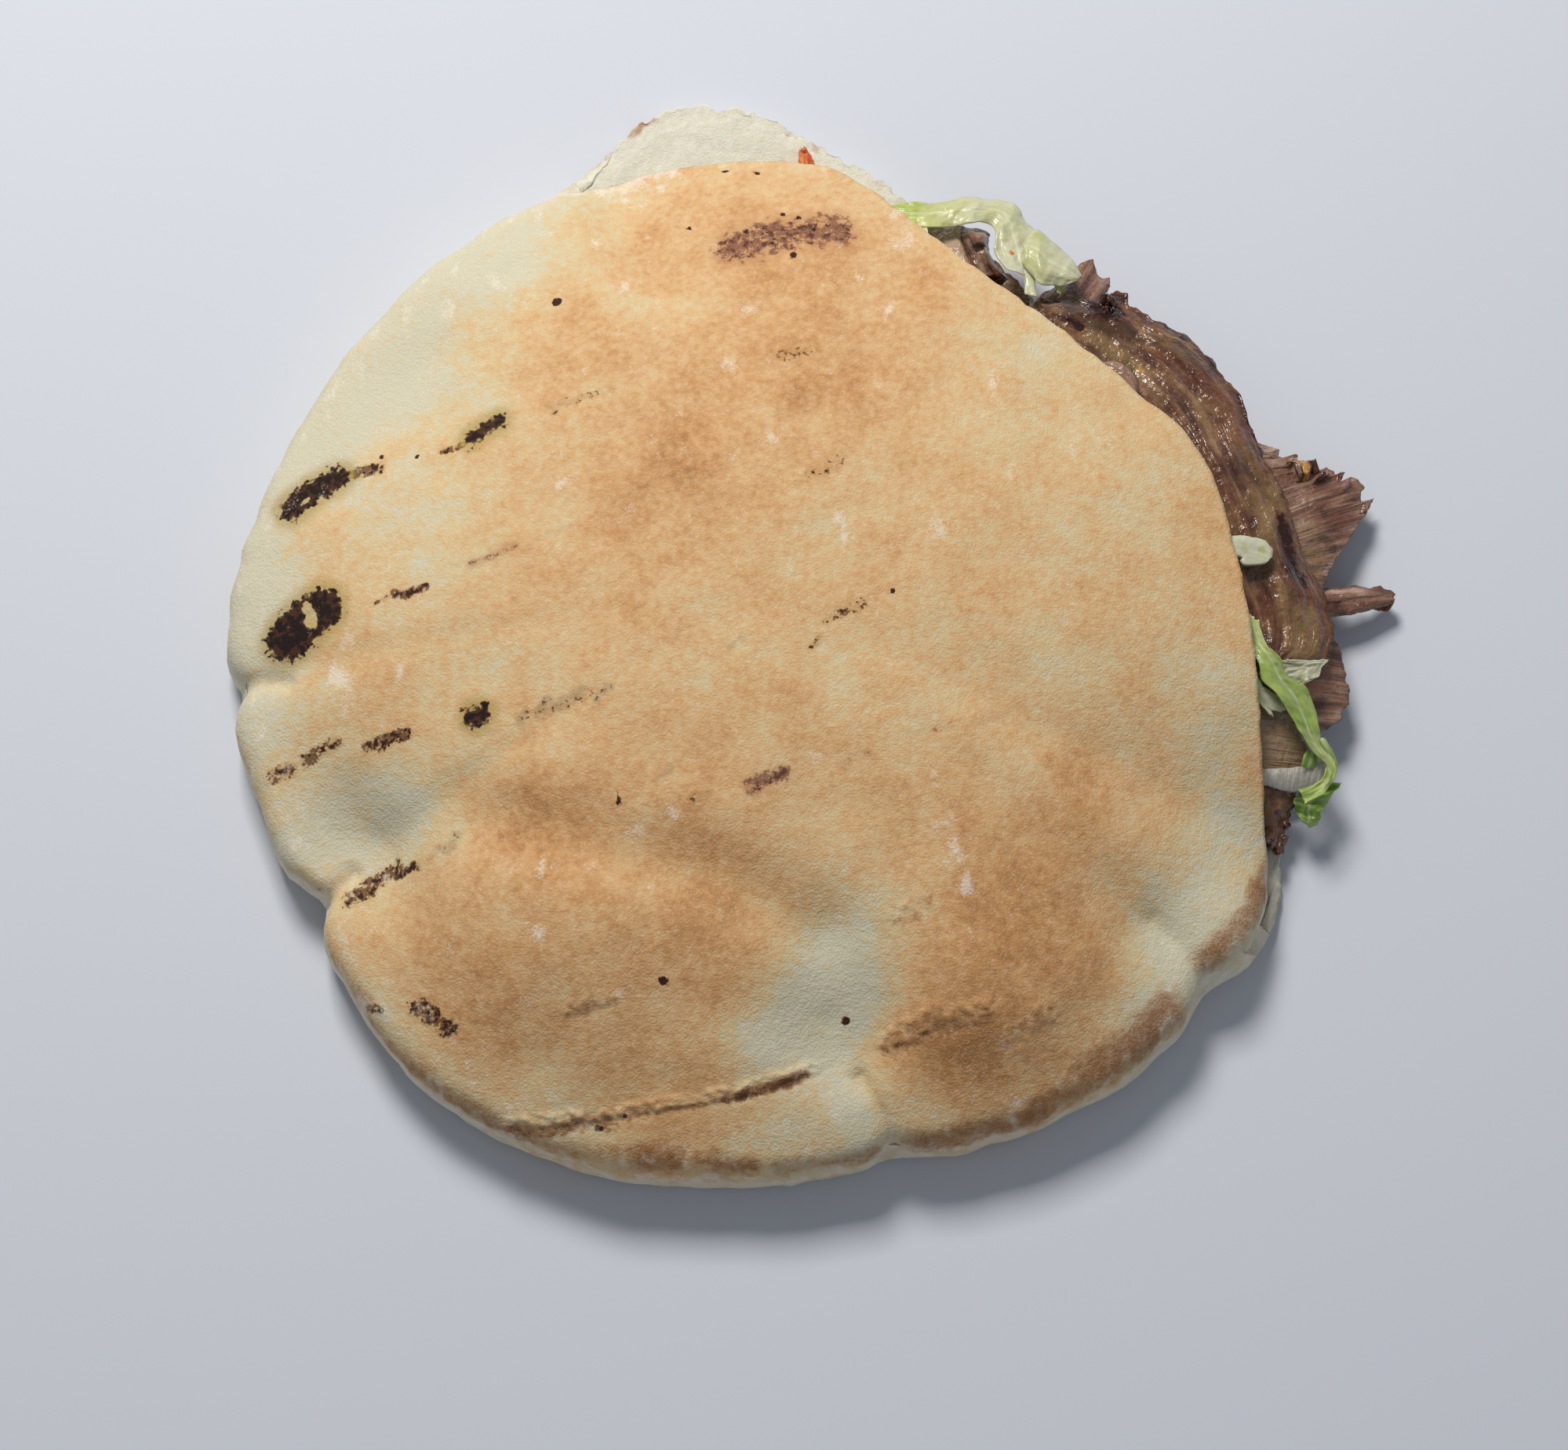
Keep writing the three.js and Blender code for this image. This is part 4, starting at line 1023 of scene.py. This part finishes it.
        "level": (1, 0.97), "wave": 0.3, "fibre": 0.06, "green": [0.7, 0.4, 0.1], "cell": 0.3},
    "fingerStrip": {
        "node": "meat_finger_strip", "kind": "pale", "thick": 3, "sharp": True,
        "inner": [(80, -2), (90, -0.6), (97, 0.8), (101.4, 1.5), (104.3, 2.2), (109, 3.8), (111, 4.8)],
        "outer": [
            (80, 3.5), (88, 5), (97.6, 7), (100, 7), (104.6, 7.8), (106, 7.2), (108.4, 7.9), (109, 7.2),
            (110.4, 7.4), (111.3, 6.2)],
        "level": (0.36, 0.38), "rag": 0.35, "raggedInner": True, "cup": 1.1, "edge": 0.45, "ridge": 0.6,
        "ridgeSize": 1.5, "cell": 0.35, "droop": 0.3,
        "masks": {"dark": [([(97, 3), (100, 2.5)], 1.5, 0.8), ([(98, 7), (103, 7.4)], 0.6, 0.7)]}},
    "standingSlice": {
        "node": "meat_standing_slice", "kind": "pale", "thick": 5,
        "inner": [(22, 79), (23, 73), (26, 68), (29, 63)],
        "outer": [(29, 78.5), (29.6, 74), (31, 69.5), (33.5, 65.5)],
        "level": (0.7, 0.78), "wave": 0.8, "ridge": 1, "ridgeSize": 2.4, "cup": 1.4, "edge": 0.5,
        # the pale dab is the slice's own pale grey-beige, made stronger as painted light against the shade of
        # the folded leaf over it
        "masks": {"dark": [([(22.4, 77), (24, 72)], 1, 0.4)], "pale": [([(25, 77), (28.5, 67)], 6, 1.8)]},
        "more": [
            {
                "inner": [(28, 78.4), (28.4, 74), (29.6, 70), (31, 66.5)],
                "outer": [(34.4, 77), (33.8, 74.6), (35, 70), (37.5, 67)],
                "level": (0.8, 0.78), "cup": 2.2, "thick": 4,
                "masks": {
                    "dark": [([(35, 71), (37, 67.5)], 2, 0.8), ([(29, 74), (30.4, 70)], 0.7, 0.7)],
                    "tan": [([(32, 73), (32.6, 70)], 1.2, 0.6)]}},
            {
                "inner": [(29.6, 75.4), (30, 73.4), (30.6, 72)],
                "outer": [(33.8, 75.2), (33.6, 73.6), (32.8, 72.2)],
                "level": (0.98, 0.96), "cup": 1.6, "thick": 2,
                "masks": {}}]},
    "rib": {
        "node": "lettuce_rib", "kind": "heart", "thick": 1.5, "sharp": True,
        "inner": [(77.5, 8.6), (79.9, 8.3), (80.2, 6.9), (82.3, 7.1), (84.6, 7.6)],
        "outer": [(77.5, 12.4), (80.3, 12.7), (82.8, 12.6), (84.7, 12.1), (86, 10.6), (85.9, 9)],
        "level": (1.1, 1.1), "wave": 0.2, "ridge": 0.1, "fibre": 0.05, "cell": 0.25, "droop": 0.5,
        "green": [0, 0.05, 0.1],
        "masks": {"spot": [([(80.4, 9.8), (80.4, 10.6)], 0.8, 0.5), ([(83.2, 10), (83.6, 10)], 1, 0.75)]}},
    "onionStrip": {
        "node": "onion_strip", "kind": "onion", "thick": 0.8, "grain": "across",
        "inner": [(80, -33), (84.5, -33.4), (87, -34), (90, -34.1), (93, -33.3), (95.2, -31.8)],
        "outer": [(80, -30.6), (86.6, -30.2), (90.4, -29.7), (93, -29.3), (95.4, -28.3), (96.2, -29.4)],
        "level": (0.98, 1), "rag": 0.1, "wave": 0.5, "ridge": 0.25, "ridgeSize": 0.9, "fibre": 0.04,
        "edge": 0.7, "cell": 0.3, "droop": 0.2, "cup": 0.5},
    "carrotSliver": {
        "node": "carrot_sliver", "kind": "carrot", "thick": 1.8, "sharp": True,
        "inner": [(-3.6, 89), (-3.2, 93), (-2.9, 96), (-2.3, 98)],
        "outer": [(-0.6, 89), (0.4, 93), (0.3, 95.2), (-0.4, 97.2), (-1.4, 98.9)],
        "level": (0.4, 0.4), "rag": 0.3, "raggedInner": True, "wave": 0.3, "fibre": 0.2, "edge": 0.5,
        "cell": 0.2, "cup": 0.4},
    "paleLeaf": {
        "node": "lettuce_pale_leaf", "kind": "heart",
        "inner": [(17, 72), (20, 69), (24, 67), (27.5, 69)],
        "outer": [(19.5, 79.5), (22, 81.5), (25, 81.5), (26.4, 78), (27.4, 74)],
        "level": (0.25, 0.3), "wave": 0.8, "ruffle": 0.4, "green": [0.2, 0.3, 0.4], "crinkle": 0.8},
}
number = 0
for name, own in slices.items():
    spec = {**kinds[own["kind"]], **own}
    parts = []
    for part in [{}] + spec.get("more", []):
        number += 1
        parts.append(sheet(name, {**spec, **part}, number))
    finished(joined(name, parts), spec["material"], spec["slot"], spec["node"])
    print(name, "is made of", len(parts), "parts")


# Inner layers: broad sheets of sliced meat and shredded lettuce, as far in as the rim lets them
def innerSlice(name, spec, seed):
    bpy.ops.mesh.primitive_grid_add(x_subdivisions=150, y_subdivisions=150, size=2)
    piece = started(name)
    mesh = piece.data
    x, y, z = (readPoints(mesh) * mm).T
    x, y = x * np.sqrt(1 - y * y / 2), y * np.sqrt(1 - x * x / 2)
    angle, ring = np.arctan2(y, x), np.minimum(1, np.hypot(x, y))
    rim = np.stack([np.cos(angle) * 90, np.sin(angle) * 90, 0 * angle], 1)
    gape = openness(angle)
    away = (np.degrees(angle) - 56) / 13
    share = 0.76 + (spec["lip"] - 0.76) * gape + spec.get("tongue", 0) * np.exp(-away ** 2)
    reach = ring * share * upperRadius(angle) + ring ** 8 * lumps(rim, (1.6, 6, seed), (0.8, 1.6, seed))
    px, py = placeAt(angle, reach)
    flat = np.stack([px, py, np.full(len(px), 3.0 * seed)], 1)
    pz = level(px, py, spec["level"])
    pz += 0.7 * rough(flat, 12, seed) + 0.4 * rough(flat * (0.3, 1, 1), 2, seed)
    writePoints(mesh, np.stack([px, py, pz], 1))
    paintPattern(mesh, flat[:, :2])
    paint(mesh, "edge", smooth(ring, 0.985, 1))
    thicken(piece, spec["thick"])
    return piece


def shreddedLettuce(name, spec, seed):
    dice = random.Random(seed)
    shreds = []
    while len(shreds) < spec["count"]:
        near = len(shreds) < spec["count"] * spec["near"]
        angle = math.radians(dice.uniform(-30, 110) if near else dice.uniform(0, 360))
        outer = spec["lip"] if openness(angle) > 0.5 else 0.7
        share = outer * math.sqrt(dice.uniform(0.25 if openness(angle) > 0.5 else 0.02, 0.85))
        radius = share * float(upperRadius(angle))
        x, y = placeAt(angle, radius)
        turn, length, width = dice.uniform(0, math.pi), dice.uniform(14, 30), dice.uniform(2.5, 5)
        bend = dice.uniform(-0.35, 0.35)
        spine = [(x + t * length * math.cos(turn + bend * t), y + t * length * math.sin(turn + bend * t))
                 for t in (-0.5, -0.25, 0, 0.25, 0.5)]
        side = (-math.sin(turn) * width / 2, math.cos(turn) * width / 2)
        height = dice.uniform(*spec["level"])
        shreds.append(sheet(name, {
            **shred, "level": (height, height),
            "inner": [(a - side[0], b - side[1]) for a, b in spine],
            "outer": [(a + side[0], b + side[1]) for a, b in spine],
            "green": [dice.uniform(0, 0.9), dice.uniform(0, 0.9)]}, seed + len(shreds)))
    return joined(name, shreds)


shred = {
    "thick": 0.5, "cell": 1, "rag": 0.3, "wave": 0.8, "fibre": 0.05, "ruffle": 0.4, "ruffleSize": 2,
    "edge": 0.6, "droop": 0,
}
inside = {  # near: share of the shreds that lie by the mouth
    "innerMeatBottom": {
        "node": "meat_inner_bottom", "kind": "pale", "level": 0.33, "lip": 0.84, "thick": 2.4},
    "innerMeatMiddle": {
        "node": "meat_inner_middle", "kind": "pale", "level": 0.53, "lip": 0.84, "tongue": 0.26,
        "thick": 2.6},
    "innerMeatTop": {
        "node": "meat_inner_top", "kind": "grilled", "level": 0.72, "lip": 0.8, "tongue": 0.22,
        "thick": 2.4},
    "lettuceBed": {
        "node": "lettuce_bed", "kind": "green", "level": (0.04, 0.13), "lip": 0.88, "count": 90,
        "near": 0.6},
    "innerLettuceTop": {
        "node": "lettuce_inner_top", "kind": "heart", "level": (0.82, 0.9), "lip": 0.8, "count": 70,
        "near": 0.6},
}
for name, spec in inside.items():
    number += 1
    if "count" in spec:
        piece = shreddedLettuce(name, spec, number * 100)
    else:
        piece = innerSlice(name, spec, number)
    kind = kinds[spec["kind"]]
    finished(piece, kind["material"], kind["slot"], spec["node"])
    print(name, "is made")
